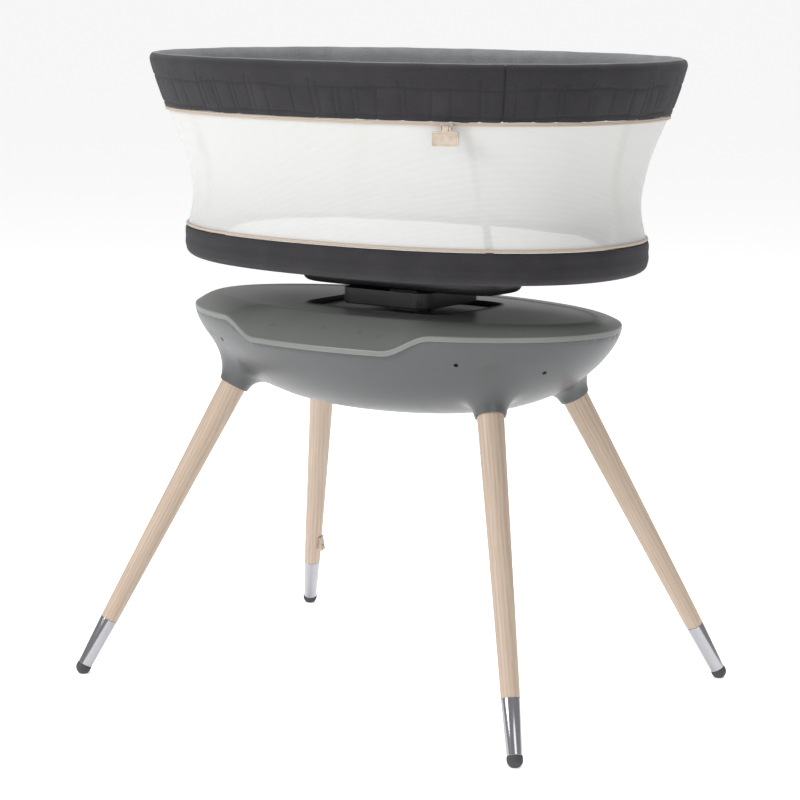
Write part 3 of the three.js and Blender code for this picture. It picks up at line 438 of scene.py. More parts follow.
def material(key):
    """Each finish is made once, from the settings."""
    if key not in MATERIALS:
        stand, base, basket = (getattr(bpy.context.scene, "bassinet_" + part)
                               for part in ("stand", "base", "basket"))
        recipes = {
            "wood": lambda: wood_material("pale_wood", stand),
            "chrome": lambda: metal_material("polished_tip", tuple(stand.metal), 0.15),
            "rubber": lambda: rubber_material("foot_rubber", tuple(stand.rubber)),
            "bowl": lambda: moulded_material("bowl_plastic", tuple(base.plastic), 0.40),
            # The cover's lighter tone is painted light on its slopes.
            "cover": lambda: moulded_material("lit_cover_plastic", tuple(base.cover), 0.36),
            "mark": lambda: moulded_material("mark_print", shade(base.cover, 0.62), 0.45),
            "dark": lambda: moulded_material("dark_plastic", tuple(base.dark), 0.40, 900.0),
            "pale": lambda: moulded_material("pale_plastic", tuple(base.pale), 0.42),
            "steel": lambda: metal_material("drawn_steel", (0.52, 0.52, 0.53), 0.30, 0.12),
            "board": lambda: board_material("circuit_board"),
            "band": lambda: cloth_material("band_cloth", tuple(basket.band), basket.weave),
            "ribbed": lambda: cloth_material("ribbed_cloth", tuple(basket.band), basket.weave, 0.30),
            "lining": lambda: cloth_material("lining_and_lit_roll_cloth", tuple(basket.lining), basket.weave),
            "net": lambda: net_material("wall_net", tuple(basket.net), basket.net_pitch),
            "trim": lambda: trim_material("tan_trim", tuple(basket.trim)),
            "hide": lambda: hide_material("tan_hide", tuple(basket.trim)),
        }
        MATERIALS[key] = recipes[key]()
    return MATERIALS[key]


def dress(names, key):
    """Gives frame parts that keep their own shape a finish."""
    for name in names:
        NODES[name].data.materials.clear()
        NODES[name].data.materials.append(material(key))


# ---- Modelling helpers --------------------------------------------------
def outward(bm):
    """Turns every face outwards, judged at the face furthest from the upright axis of the mesh."""
    bmesh.ops.recalc_face_normals(bm, faces=bm.faces[:])
    middle = sum((v.co for v in bm.verts), Vector()) / len(bm.verts)
    far = max(bm.faces, key=lambda f: (f.calc_center_median() - middle).to_2d().length)
    if far.normal.to_2d().dot((far.calc_center_median() - middle).to_2d()) < 0:
        bmesh.ops.reverse_faces(bm, faces=bm.faces[:])


def new_object(name, bm, finish, scale=MM):
    """A piece from a mesh in millimetres. Its object stays at the origin."""
    bmesh.ops.scale(bm, vec=(scale,) * 3, verts=bm.verts[:])
    mesh = bpy.data.meshes.new(name)
    bm.to_mesh(mesh)
    bm.free()
    piece = bpy.data.objects.new(name, mesh)
    bpy.context.scene.collection.objects.link(piece)
    for one in finish if isinstance(finish, tuple) else (finish,):
        mesh.materials.append(material(one))
    return piece


def settle(piece, sharp=32.0):
    """Applies the piece's modifiers, shades it smooth and keeps its corners sharp."""
    if piece.modifiers:
        graph = bpy.context.evaluated_depsgraph_get()
        made = bpy.data.meshes.new_from_object(piece.evaluated_get(graph), depsgraph=graph)
        piece.modifiers.clear()
        old, piece.data = piece.data, made
        made.name = piece.name
        bpy.data.meshes.remove(old)
    mesh = piece.data
    mesh.polygons.foreach_set("use_smooth", [True] * len(mesh.polygons))
    mesh.set_sharp_from_angle(angle=math.radians(sharp))
    return piece


def thicken(piece, wall, even=True):
    """Gives an open surface a wall on its inner side, in millimetres."""
    solid = piece.modifiers.new("wall", "SOLIDIFY")
    solid.thickness = wall * MM
    solid.offset = -1
    solid.use_even_offset = even
    return piece


def place_piece(piece, body, slot, *nodes):
    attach(piece, body)
    if nodes:
        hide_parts(*nodes)
    return piece


def oval_at(half_x, half_y, power, angle):
    c, s = math.cos(angle), math.sin(angle)
    return (half_x * math.copysign(abs(c) ** (2 / power), c),
            half_y * math.copysign(abs(s) ** (2 / power), s))


def even_angles(half_x, half_y, power, sides):
    """The angles that space points evenly round an oval, and the oval's length."""
    fine = np.linspace(0, TURN, 20001)
    points = np.array([oval_at(half_x, half_y, power, a) for a in fine])
    walked = np.concatenate([[0], np.cumsum(np.linalg.norm(np.diff(points, axis=0), axis=1))])
    wanted = np.linspace(0, walked[-1], sides, endpoint=False)
    return np.interp(wanted, walked, fine), float(walked[-1])


class Wall:
    """A wall grown ring by ring round an upright axis. A ring says where each angle's point is."""

    def __init__(self, half_x, half_y, power, sides):
        self.bm = bmesh.new()
        layers = self.bm.verts.layers.float
        names = ("angle", "along", "rise")
        for name in names:
            layers.new(name)
        self.angle, self.along, self.rise = (layers[name] for name in names)
        angles, self.length = even_angles(half_x, half_y, power, sides)
        ring = bmesh.ops.create_circle(self.bm, segments=sides, radius=1.0)["verts"]
        for i, vert in enumerate(ring):
            vert[self.angle] = angles[i]
            vert[self.along] = self.length * i / sides
        self.verts, self.loop, self.first = ring, self.bm.edges[:], None

    def grow(self, place):
        if self.first is None:
            self.first = list(self.loop)
            for vert in self.verts:
                vert.co = place(vert[self.angle])
            return self
        new = set(bmesh.ops.extrude_edge_only(self.bm, edges=self.loop)["geom"])
        self.verts = [g for g in new if isinstance(g, bmesh.types.BMVert)]
        added = set(self.verts)
        self.loop = [g for g in new if isinstance(g, bmesh.types.BMEdge)
                     and g.verts[0] in added and g.verts[1] in added]
        for vert in self.verts:
            spot = Vector(place(vert[self.angle]))
            vert[self.rise] += (spot - vert.co).length
            vert.co = spot
        return self

    def close(self):
        """Joins the last ring to the first."""
        bmesh.ops.bridge_loops(self.bm, edges=self.first + self.loop)
        return self

    def cap(self, *loops):
        for loop in loops:
            bmesh.ops.edgeloop_fill(self.bm, edges=loop)
        return self

    def map(self):
        """Lays a map in metres along the wall and up it."""
        uv = self.bm.loops.layers.uv.new("cloth")
        for face in self.bm.faces:
            spots = [corner.vert[self.along] for corner in face.loops]
            wraps = max(spots) - min(spots) > self.length / 2
            for corner, spot in zip(face.loops, spots):
                across = spot + self.length if wraps and spot < self.length / 2 else spot
                corner[uv].uv = (across * MM, corner.vert[self.rise] * MM)
        return self


def oval_ring(half_x, half_y, z, power, x=0.0, y=0.0):
    """A ring at one height, or at a height that is a function of the point."""
    def place(angle):
        px, py = oval_at(half_x, half_y, power, angle)
        return (x + px, y + py, z(px, py) if callable(z) else z)
    return place


def between(first, second, share):
    return lambda angle: Vector(first(angle)).lerp(Vector(second(angle)), share)


def turned(profile, steps, matrix=Matrix()):
    """A turned solid from (radius, height) pairs, closed where it meets its axis."""
    bm = bmesh.new()
    verts = [bm.verts.new((r, 0, z)) for r, z in profile]
    edges = [bm.edges.new(pair) for pair in zip(verts, verts[1:])]
    bmesh.ops.spin(bm, geom=verts + edges, cent=(0, 0, 0), axis=(0, 0, 1), angle=TURN,
                   steps=steps, use_merge=True)
    bmesh.ops.remove_doubles(bm, verts=bm.verts[:], dist=1e-4)
    bmesh.ops.recalc_face_normals(bm, faces=bm.faces[:])
    bmesh.ops.transform(bm, matrix=matrix, verts=bm.verts[:])
    return bm


def merged(target, source):
    """Adds one mesh to another."""
    mesh = bpy.data.meshes.new("part")
    source.to_mesh(mesh)
    source.free()
    target.from_mesh(mesh)
    bpy.data.meshes.remove(mesh)


def rounded_edges(bm, edges, offset, segments):
    bmesh.ops.bevel(bm, geom=edges, offset=offset, segments=segments, profile=0.5,
                    affect="EDGES", material=-1)


def block(size, middle, round_by=0.0, segments=3):
    """A block with softened edges."""
    bm = bmesh.new()
    bmesh.ops.create_cube(bm, size=1.0)
    bmesh.ops.scale(bm, vec=size, verts=bm.verts[:])
    bmesh.ops.translate(bm, vec=middle, verts=bm.verts[:])
    if round_by:
        rounded_edges(bm, bm.edges[:], round_by, segments)
    return bm


def upright(bm):
    """The edges that run along Z."""
    return [e for e in bm.edges if abs((e.verts[0].co - e.verts[1].co).normalized().z) > 0.99]


def noise_of(*numbers):
    """A repeatable number from 0 to 1."""
    total = sum(n * k for n, k in zip(numbers, (12.9898, 78.233, 37.719)))
    return (math.sin(total) * 43758.5453) % 1.0


def smoothstep(x):
    x = min(1.0, max(0.0, x))
    return x * x * (3 - 2 * x)


# ---- Stand --------------------------------------------------------------
def leg_frame(sx, sy):
    """The matrix that stands a turned piece on a leg's line, and the leg's length."""
    foot = Vector((STAND_X + sx * FOOT_X, sy * FOOT_Y, 0))
    mouth = Vector((STAND_X + sx * MOUTH.x, sy * MOUTH.y, MOUTH.z))
    direction = (mouth - foot).normalized()
    turn = Vector((0, 0, 1)).rotation_difference(direction)
    return Matrix.Translation(foot) @ turn.to_matrix().to_4x4(), (mouth - foot).length


def rounded(corner_in, corner, corner_out, radius, steps=4):
    """Points that round a profile's corner."""
    a, b, c = (Vector(p) for p in (corner_in, corner, corner_out))
    start = b + (a - b).normalized() * radius
    end = b + (c - b).normalized() * radius
    return [tuple(start.lerp(b, t).lerp(b.lerp(end, t), t)) for t in
            (i / steps for i in range(steps + 1))]


class BASSINET_OT_legs(bpy.types.Operator):
    """Turns the four wooden legs with their polished tips and rubber feet"""
    bl_idname = "bassinet.legs"
    bl_label = "Legs"

    def execute(self, context):
        for corner, sx, sy in CORNERS:
            matrix, reach = leg_frame(sx, sy)
            self.wood(corner, matrix, reach)
            self.tip(corner, matrix)
            self.foot(corner, matrix)
        return {"FINISHED"}

    def wood(self, corner, matrix, reach):
        tenon, start = FERRULE_END_RADIUS - 1.5, FERRULE_END + 0.3
        end = reach + SOCKET_DEPTH - 0.3
        profile = [(0, start - 40), (tenon - 0.8, start - 40), (tenon, start - 39), (tenon, start)]
        profile += rounded((tenon, start), (FERRULE_END_RADIUS, start), (LEG_TOP_RADIUS, reach), 0.7)
        profile += [(FERRULE_END_RADIUS + (LEG_TOP_RADIUS - FERRULE_END_RADIUS) * i / 12,
                     start + (reach - start) * i / 12) for i in range(1, 13)]
        profile += [(LEG_TOP_RADIUS, end - 2), (LEG_TOP_RADIUS - 2, end), (0, end)]
        bm = turned(profile, 56)
        grain = bm.verts.layers.float_vector.new("grain")
        offset = Vector((noise_of(len(corner), matrix.translation.x) * 90,
                         noise_of(matrix.translation.y) * 70, matrix.translation.x * 2))
        for vert in bm.verts:
            vert[grain] = (vert.co + offset) * MM
        bmesh.ops.transform(bm, matrix=matrix, verts=bm.verts[:])
        piece = settle(new_object(f"leg_{corner}", bm, "wood"))
        place_piece(piece, "stand", "natural_wood", f"wood_leg_{corner}")

    def tip(self, corner, matrix):
        wall, low, high = 1.2, 11.0, FERRULE_END_RADIUS
        profile = [(4.3, FERRULE_START)]
        profile += rounded((4.3, FERRULE_START), (low, FERRULE_START), (high, FERRULE_END), 0.8)
        profile += rounded((low, FERRULE_START), (high, FERRULE_END), (high - wall, FERRULE_END), 0.5)
        profile += [(high - wall, FERRULE_END), (low - wall, FERRULE_START + 5),
                    (4.3, FERRULE_START + 5), (4.3, FERRULE_START)]
        piece = settle(new_object(f"tip_{corner}", turned(profile, 64, matrix), "chrome"))
        place_piece(piece, "stand", "polished_metal", f"leg_ferrule_{corner}")

    def foot(self, corner, matrix):
        ball, middle, top = 11.5, 10.8, FERRULE_START - 0.3
        profile = [(ball * math.sin(a), middle - ball * math.cos(a))
                   for a in (math.radians(step * 9) for step in range(11))]
        profile += [(11.4, top - 0.8), (10.9, top), (4, top), (4, top + 8), (0, top + 8)]
        bm = turned(profile, 48, matrix)
        cut = bmesh.ops.bisect_plane(bm, geom=bm.verts[:] + bm.edges[:] + bm.faces[:],
                                     plane_co=(0, 0, 0), plane_no=(0, 0, 1), clear_inner=True)
        rim = [g for g in cut["geom_cut"] if isinstance(g, bmesh.types.BMEdge)]
        if rim:
            bmesh.ops.edgeloop_fill(bm, edges=rim)
        bmesh.ops.recalc_face_normals(bm, faces=bm.faces[:])
        piece = settle(new_object(f"foot_{corner}", bm, "rubber"))
        place_piece(piece, "stand", "foot_rubber", f"rubber_foot_{corner}")


# ---- Base ---------------------------------------------------------------
def droop_at(x, y):
    """How far the seam hangs below its usual level at the front lip."""
    base = bpy.context.scene.bassinet_base
    if y >= 0:
        return 0.0
    return base.lip_droop / MM * smoothstep((base.lip_half / MM - abs(x)) / 70)


def bowl_share(z):
    depth = min(0.99, max(0.0, (SEAM_Z - z) / (SEAM_Z - BOWL_BOTTOM_Z)))
    return (1 - depth ** 1.31) ** (1 / 3.33)


def seam_at(x, y):
    """The seam's height over a point of the bowl's skin."""
    z = SEAM_Z - droop_at(x, y)
    return SEAM_Z - droop_at(x / bowl_share(z), y)


def bowl_ring(level, above=0.0):
    """One ring of the bowl's skin, from its seam at level 0 to its bottom at 1."""
    def place(angle):
        x, y = oval_at(BASE_X, BASE_Y, 2, angle)
        start = SEAM_Z - droop_at(x, y)
        z = start - (start - BOWL_BOTTOM_Z) * level
        share = bowl_share(z)
        return (STAND_X + x * share, y * share, z + above)
    return place


def trumpet():
    """The flared collar round a leg's top, as a profile from its mouth up."""
    spots = [(22.7, 0), (25.7, 9), (30.7, 19), (37.7, 29), (46.7, 38), (58.7, 47), (72.7, 53)]
    profile = [(0, -7), (22.7, -7)]
    for i, (a, b) in enumerate(zip(spots, spots[1:])):
        before, after = spots[max(0, i - 1)], spots[min(len(spots) - 1, i + 2)]
        for step in range(4):
            t = step / 4
            profile.append(tuple(
                0.5 * (2 * p1 + (p2 - p0) * t + (2 * p0 - 5 * p1 + 4 * p2 - p3) * t * t
                       + (3 * p1 - p0 - 3 * p2 + p3) * t ** 3)
                for p0, p1, p2, p3 in zip(before, a, b, after)))
    return profile + [spots[-1], (0, spots[-1][1])]


class BASSINET_OT_bowl(bpy.types.Operator):
    """Blends the bowl with its four leg collars, opens its mouths and drills its screw holes"""
    bl_idname = "bassinet.bowl"
    bl_label = "Bowl"

    def execute(self, context):
        wall = Wall(BASE_X, BASE_Y, 2, 160)
        wall.grow(bowl_ring(0, 9))
        for step in range(41):
            wall.grow(bowl_ring((step / 40) ** 0.85))
        wall.cap(wall.first, wall.loop)
        outward(wall.bm)
        for _, sx, sy in CORNERS:
            matrix, reach = leg_frame(sx, sy)
            merged(wall.bm, turned(trumpet(), 48, matrix @ Matrix.Translation((0, 0, reach))))
        piece = new_object("bowl", wall.bm, "bowl")
        remesh = piece.modifiers.new("blend", "REMESH")
        remesh.mode = "VOXEL"
        remesh.voxel_size = context.scene.bassinet_base.voxel
        settle(piece)
        bm = bmesh.new()
        bm.from_mesh(piece.data)
        bmesh.ops.scale(bm, vec=(1 / MM,) * 3, verts=bm.verts[:])
        self.fair(bm, bm.verts[:], 9)
        self.fair(bm, self.junctions(bm), 70)
        self.open_top(bm)
        self.open_mouths(bm)
        self.sink_screws(bm)
        bmesh.ops.scale(bm, vec=(MM,) * 3, verts=bm.verts[:])
        bm.to_mesh(piece.data)
        bm.free()
        settle(thicken(piece, 3.0, even=False))
        piece.data.materials.clear()
        piece.data.materials.append(material("bowl"))
        place_piece(piece, "stand", "base_plastic", "base_bowl")
        return {"FINISHED"}

    def fair(self, bm, verts, rounds):
        for _ in range(rounds):
            bmesh.ops.smooth_vert(bm, verts=verts, factor=0.5, use_axis_x=True, use_axis_y=True,
                                  use_axis_z=True)

    BLEND_LENGTH, BLEND_RADIUS, BLEND_TOP_Z = 85, 105, 522

    def junctions(self, bm):
        """The skin between each collar's mouth and the bowl round it."""
        found = set()
        for _, sx, sy in CORNERS:
            matrix, reach = leg_frame(sx, sy)
            back = matrix.inverted()
            for vert in bm.verts:
                spot = back @ vert.co
                beside = spot.to_2d().length < self.BLEND_RADIUS and vert.co.z < self.BLEND_TOP_Z
                if beside and 5 < spot.z - reach < self.BLEND_LENGTH:
                    found.add(vert)
        return list(found)

    def open_top(self, bm):
        """Cuts the skin away above the seam and draws its edge to the seam's line."""
        above = [v for v in bm.verts if v.co.z > 515
                 and v.co.z > seam_at(v.co.x - STAND_X, v.co.y) - 1.0]
        bmesh.ops.delete(bm, geom=above, context="VERTS")
        for vert in bm.verts:
            if vert.is_boundary:
                vert.co.z = seam_at(vert.co.x - STAND_X, vert.co.y)

    def open_mouths(self, bm):
        for _, sx, sy in CORNERS:
            matrix, reach = leg_frame(sx, sy)
            mouth = matrix @ Vector((0, 0, reach))
            along = matrix.to_3x3() @ Vector((0, 0, 1))
            near = [v for v in bm.verts if (v.co - mouth).length < 45]
            edges = {e for v in near for e in v.link_edges}
            faces = {f for v in near for f in v.link_faces}
            bmesh.ops.bisect_plane(bm, geom=near + list(edges) + list(faces), plane_co=mouth,
                                   plane_no=along, clear_inner=True)
            rest = [v for v in bm.verts if (v.co - mouth).dot(along) < -0.01
                    and (v.co - mouth).length < 60]
            bmesh.ops.delete(bm, geom=rest, context="VERTS")

    def sink_screws(self, bm):
        """Sinks eight round screw holes square to the skin."""
        tree = BVHTree.FromBMesh(bm)
        for _, sx, sy in CORNERS:
            for x, y in SCREW_SPOTS:
                start = Vector((STAND_X + sx * x, sy * y, 300))
                spot, normal, _, _ = tree.ray_cast(start, Vector((0, 0, 1)))
                if spot is None:
                    raise RuntimeError("a screw hole misses the bowl")
                near = [e for e in bm.edges if (e.verts[0].co - spot).length < 9]
                bmesh.ops.subdivide_edges(bm, edges=near, cuts=1, use_grid_fill=True)
                inside = [v for v in bm.verts if (v.co - spot).length < 3.5]
                bmesh.ops.delete(bm, geom=inside, context="VERTS")
                rim = {v for v in bm.verts if v.is_boundary and (v.co - spot).length < 9}
                for vert in rim:
                    flat = vert.co - spot
                    flat -= normal * flat.dot(normal)
                    vert.co = spot + flat.normalized() * 3.6
                edges = [e for e in bm.edges if e.is_boundary and e.verts[0] in rim and e.verts[1] in rim]
                for depth in (0.6, 5.4):
                    new = bmesh.ops.extrude_edge_only(bm, edges=edges)["geom"]
                    verts = {g for g in new if isinstance(g, bmesh.types.BMVert)}
                    edges = [g for g in new if isinstance(g, bmesh.types.BMEdge)
                             and g.verts[0] in verts and g.verts[1] in verts]
                    for vert in verts:
                        vert.co -= normal * depth
                        if depth < 1:
                            vert.co += (spot - normal * depth - vert.co) * 0.12
                bmesh.ops.edgeloop_fill(bm, edges=edges)


def cover_ring(half_x, half_y, z, share):
    return oval_ring(half_x, half_y, lambda x, y: z - share * droop_at(
        x * BASE_X / half_x, y), 2, STAND_X)


def opening_ring(grow, z):
    return oval_ring(OPENING_X + grow, OPENING_Y + grow, z, OPENING_POWER, STAND_X, OPENING_MIDDLE)


class BASSINET_OT_cover(bpy.types.Operator):
    """Lofts the base cover with its creased deck, drooping lip and lined opening"""
    bl_idname = "bassinet.cover"
    bl_label = "Cover"

    def execute(self, context):
        wall = Wall(BASE_X, BASE_Y, 2, 288)
        seam = SEAM_Z + 0.4
        rings = [cover_ring(BASE_X - 0.5, BASE_Y - 0.5, seam, 1),
                 cover_ring(BASE_X, BASE_Y, seam + 0.5, 1),
                 cover_ring(BASE_X, BASE_Y, RIM_Z - 2.4, 1)]
        for step in range(1, 6):
            turn = step / 5 * math.radians(72)
            inset = 2.6 * (1 - math.cos(turn))
            height = RIM_Z - 2.4 + 2.4 * math.sin(turn)
            rings.append(cover_ring(BASE_X - inset, BASE_Y - inset, height, 1))
        rim = rings[-1]
        deck = cover_ring(DECK_X + 3, DECK_Y + 3, DECK_Z - 0.3, 0.0)
        for step in range(1, 14):
            rings.append(self.slope(rim, deck, step / 14))
        rings += [deck] + [cover_ring(DECK_X - in_x, DECK_Y - in_y, DECK_Z - drop, 0)
                           for in_x, in_y, drop in ((0, 0, 0), (2, 2, 0.3), (5, 4, 1.3), (10, 8, 1.5))]
        last, lip = rings[-1], opening_ring(12, DECK_Z - 1.5)
        rings += [between(last, lip, step / 10) for step in range(1, 11)]
        rings += [opening_ring(grow, DECK_Z - drop)
                  for grow, drop in ((8, 1.4), (6, 1.2), (4.6, 0.7), (3.6, 0.5), (2.8, 0.9),
                                     (2.5, 1.6), (2.5, 4))]
        for ring in rings:
            wall.grow(ring)
        outward(wall.bm)
        piece = thicken(new_object("cover", wall.bm, "cover"), 2.6)
        place_piece(settle(piece, 40), "stand", "base_plastic", "base_cover")
        self.liner()
        return {"FINISHED"}

    def slope(self, rim, deck, share):
        """Between the rim and the deck the cover swells a little."""
        def place(angle):
            spot = Vector(rim(angle)).lerp(Vector(deck(angle)), share)
            spot.z += 2.6 * math.sin(math.pi * share)
            return spot
        return place

    def liner(self):
        """The soft black lining round the opening, over the sliding shutter."""
        wall = Wall(OPENING_X, OPENING_Y, OPENING_POWER, 220)
        for grow, z in ((2.2, 571.6), (2.2, 574.0), (1.6, 574.8), (0.8, 574.8), (0.1, 574.2), (0, 573),
                        (0, 568.6), (8, 568.6), (8, 571.0), (7.4, 571.6)):
            wall.grow(opening_ring(grow, z))
        wall.close()
        outward(wall.bm)
        piece = settle(new_object("opening_lining", wall.bm, "dark"))
        place_piece(piece, "stand", "dark_plastic", "opening_liner")


class BASSINET_OT_controls(bpy.types.Operator):
    """Sets a row of plain touch marks into the front lip"""
    bl_idname = "bassinet.controls"
    bl_label = "Touch marks"

    def execute(self, context):
        marks = bmesh.new()
        for index in range(7):
            x = -96 + index * 32
            shape = ("ring", "bar", "dot", "ring", "dot", "cross", "ring")[index]
            for part in self.mark(shape):
                merged(marks, self.laid(part, x))
        bmesh.ops.recalc_face_normals(marks, faces=marks.faces[:])
        piece = settle(new_object("touch_marks", marks, "mark"))
        place_piece(piece, "stand", "dark_plastic")
        return {"FINISHED"}

    def mark(self, shape):
        if shape == "ring":
            return [turned([(2.5, 0), (3.2, 0), (3.2, 0.12), (2.5, 0.12), (2.5, 0)], 28)]
        if shape == "dot":
            return [turned([(0, 0), (1.1, 0), (1.1, 0.12), (0, 0.12)], 20)]
        bars = [block((5.4, 0.8, 0.12), (0, 0, 0.06))]
        if shape == "cross":
            bars.append(block((0.8, 2.2, 0.12), (0, 1.6, 0.06)))
            bars.append(block((0.8, 2.2, 0.12), (0, -1.6, 0.06)))
        return bars

    def laid(self, bm, x):
        """Lays a mark on the lip's slope."""
        cover = bpy.data.objects["cover"]
        spots = []
        for dx, dy in ((0, 0), (4, 0), (0, 4)):
            start = Vector((STAND_X + x + dx, -192 + dy, 640)) * MM
            hit, spot, _, _ = cover.ray_cast(start, Vector((0, 0, -1)))
            if not hit:
                raise RuntimeError("a touch mark misses the cover")
            spots.append(spot / MM)
        across, up = (spots[1] - spots[0]).normalized(), (spots[2] - spots[0]).normalized()
        out = across.cross(up).normalized()
        turn = Matrix((across, out.cross(across), out)).transposed().to_4x4()
        bmesh.ops.transform(bm, matrix=Matrix.Translation(spots[0] + out * 0.02) @ turn, verts=bm.verts[:])
        return bm


class BASSINET_OT_mount(bpy.types.Operator):
    """Makes the block and the hub that carry the basket over the base"""
    bl_idname = "bassinet.mount"
    bl_label = "Mount"

    def execute(self, context):
        size = BLOCK_HIGH - BLOCK_LOW + Vector((2 * BLOCK_MARGIN, 2 * BLOCK_MARGIN, 0))
        bm = block(size, (BLOCK_HIGH + BLOCK_LOW) / 2)
        rounded_edges(bm, upright(bm), 22, 12)
        foot = [e for e in bm.edges if all(v.co.z < BLOCK_LOW.z + 0.01 for v in e.verts)]
        rounded_edges(bm, foot, 2.2, 4)
        flat = [f for f in bm.faces if abs(f.normal.z) > 0.99 and f.calc_area() > 3000]
        bmesh.ops.delete(bm, geom=flat, context="FACES")
        piece = thicken(new_object("block", bm, "dark"), 3)
        place_piece(settle(piece), "basket", "dark_plastic", "pedestal_block")

        middle = (HUB_LOW + HUB_HIGH) / 2
        half = (HUB_HIGH - HUB_LOW) / 2
        wall = Wall(half.x, half.y, 5, 200)
        for inset, z in ((14, 0), (9, 0.3), (5.6, 1.6), (3, 4), (1.2, 7), (0.2, 11), (0, 15),
                         (0, 31), (0.6, 32)):
            wall.grow(oval_ring(half.x - inset, half.y - inset, HUB_LOW.z + z, 5, middle.x))
        wall.cap(wall.first)
        outward(wall.bm)
        piece = thicken(new_object("hub", wall.bm, "dark"), 2.6)
        place_piece(settle(piece), "basket", "dark_plastic", "basket_hub")
        return {"FINISHED"}


# ---- Basket -------------------------------------------------------------
def low_ring(inset, z, wave=None):
    return swayed(BAND_X - inset, BAND_Y - inset, z, LOW_POWER, wave)


def swayed(half_x, half_y, z, power, wave=None):
    """A ring whose points are moved out by a wave, in millimetres."""
    def place(angle):
        x, y = oval_at(half_x, half_y, power, angle)
        out = wave(angle) if wave else 0.0
        reach = math.hypot(x, y)
        return (x * (1 + out / reach), y * (1 + out / reach), z)
    return place


def ripple(seed, size):
    """A gentle unevenness round a soft band."""
    return lambda angle: size * sum(
        math.sin(angle * k + TURN * noise_of(seed, k)) / k ** 0.5 for k in (7, 11, 17, 29)) / 2


class BASSINET_OT_lower_band(bpy.types.Operator):
    """Sews the ribbed lower band and its tan piping"""
    bl_idname = "bassinet.lower_band"
    bl_label = "Lower band"

    def execute(self, context):
        wall = Wall(BAND_X, BAND_Y, LOW_POWER, 560)
        hub = oval_ring(168, 52, BAND_Z + 0.2, 5)
        floor = low_ring(24, BAND_Z + 0.2)
        for share in (0, 0.25, 0.5, 0.75, 1):
            wall.grow(between(hub, floor, share))
        for step in range(1, 9):
            turn = step / 8 * math.pi / 2
            wall.grow(low_ring(24 - 24 * math.sin(turn), BAND_Z + 0.2 + 15 * (1 - math.cos(turn)),
                               ripple(1, 0.25 * step / 8)))
        for step in range(1, 15):
            share = step / 14
            z = BAND_Z + 15.2 + (BAND_TOP_Z - BAND_Z - 16.4) * share
            bulge = 1.4 * math.sin(math.pi * share) + 0.5 * math.sin(math.pi * share * 3)
            wall.grow(low_ring(-bulge, z, ripple(1 + share, 0.45)))
        for inset, z in ((0.7, 0.2), (2.0, 0.7)):
            wall.grow(low_ring(inset, BAND_TOP_Z - 1.0 + z))
        wall.map()
        outward(wall.bm)
        piece = thicken(new_object("ribbed_band", wall.bm, "ribbed"), 1.8)
        settle(piece, 60)
        place_piece(piece, "basket", "charcoal_fabric", "lower_band")

        piping = self.round_cord("piping", BAND_X - 2, BAND_Y - 2, BAND_TOP_Z + 2.6, 2.3, LOW_POWER)
        place_piece(piping, "basket", "tan_trim", "lower_piping")
        return {"FINISHED"}

    def round_cord(self, name, half_x, half_y, z, radius, power):
        wall = Wall(half_x, half_y, power, 560)
        for step in range(12):
            turn = TURN * step / 12
            grow = radius * math.cos(turn)
            wall.grow(oval_ring(half_x + grow, half_y + grow, z + radius * math.sin(turn), power))
        wall.close().map()
        outward(wall.bm)
        return settle(new_object(name, wall.bm, "trim"), 60)


def net_ring(z, inset=0.0, wave=None):
    """The net draws in to a waist between the two bands."""
    start = BAND_TOP_Z + 4.6
    below = z < WAIST_Z
    end = (BAND_X - 3, BAND_Y - 3) if below else (HIP_X - 1, HIP_Y - 1)
    reach = (WAIST_Z - z) / (WAIST_Z - start) if below else (z - WAIST_Z) / (HIP_Z - WAIST_Z)
    power = LOW_POWER + (TOP_POWER - LOW_POWER) * (z - start) / (HIP_Z - start)
    half = [waist + (e - waist) * reach ** 1.7 - inset for waist, e in zip((WAIST_X, WAIST_Y), end)]
    return swayed(half[0], half[1], z, power, wave)


def top_size(z):
    share = (z - HIP_Z) / (TOP_Z - 5 - HIP_Z)
    return HIP_X + (RIM_X - HIP_X) * share, HIP_Y + (RIM_Y - HIP_Y) * share


class BASSINET_OT_net(bpy.types.Operator):
    """Stretches the net walls and lays the zip tape along their upper edge"""
    bl_idname = "bassinet.net"
    bl_label = "Net walls"

    def execute(self, context):
        wall = Wall(HIP_X, HIP_Y, TOP_POWER, 480)
        low, high = BAND_TOP_Z + 4.0, HIP_Z - 4.6
        for step in range(41):
            share = step / 40
            z = low + (high - low) * share
            wall.grow(net_ring(max(z, BAND_TOP_Z + 4.7), 0.3,
                               ripple(7 + share, 0.55 * math.sin(math.pi * share))))
        wall.map()
        outward(wall.bm)
        net = settle(new_object("net_wall", wall.bm, "net"), 60)
        place_piece(net, "basket", "mesh_fabric", "mesh_wall")

        tape = Wall(HIP_X, HIP_Y, TOP_POWER, 560)
        for inset, z in ((2.4, -5.2), (0.9, -5.3), (0.2, -4.9), (0.0, -4.2), (0.1, -2.9), (0.5, -2.75),
                         (0.5, -2.45), (0.1, -2.3), (-0.2, -1.2), (0.0, -0.5), (0.9, -0.3), (2.4, -0.3)):
            half = top_size(HIP_Z)
            tape.grow(oval_ring(half[0] - inset, half[1] - inset, HIP_Z + z, TOP_POWER))
        tape.close().map()
        outward(tape.bm)
        piece = settle(new_object("tape", tape.bm, "trim"), 50)
        place_piece(piece, "basket", "tan_trim", "zip_tape")
        return {"FINISHED"}


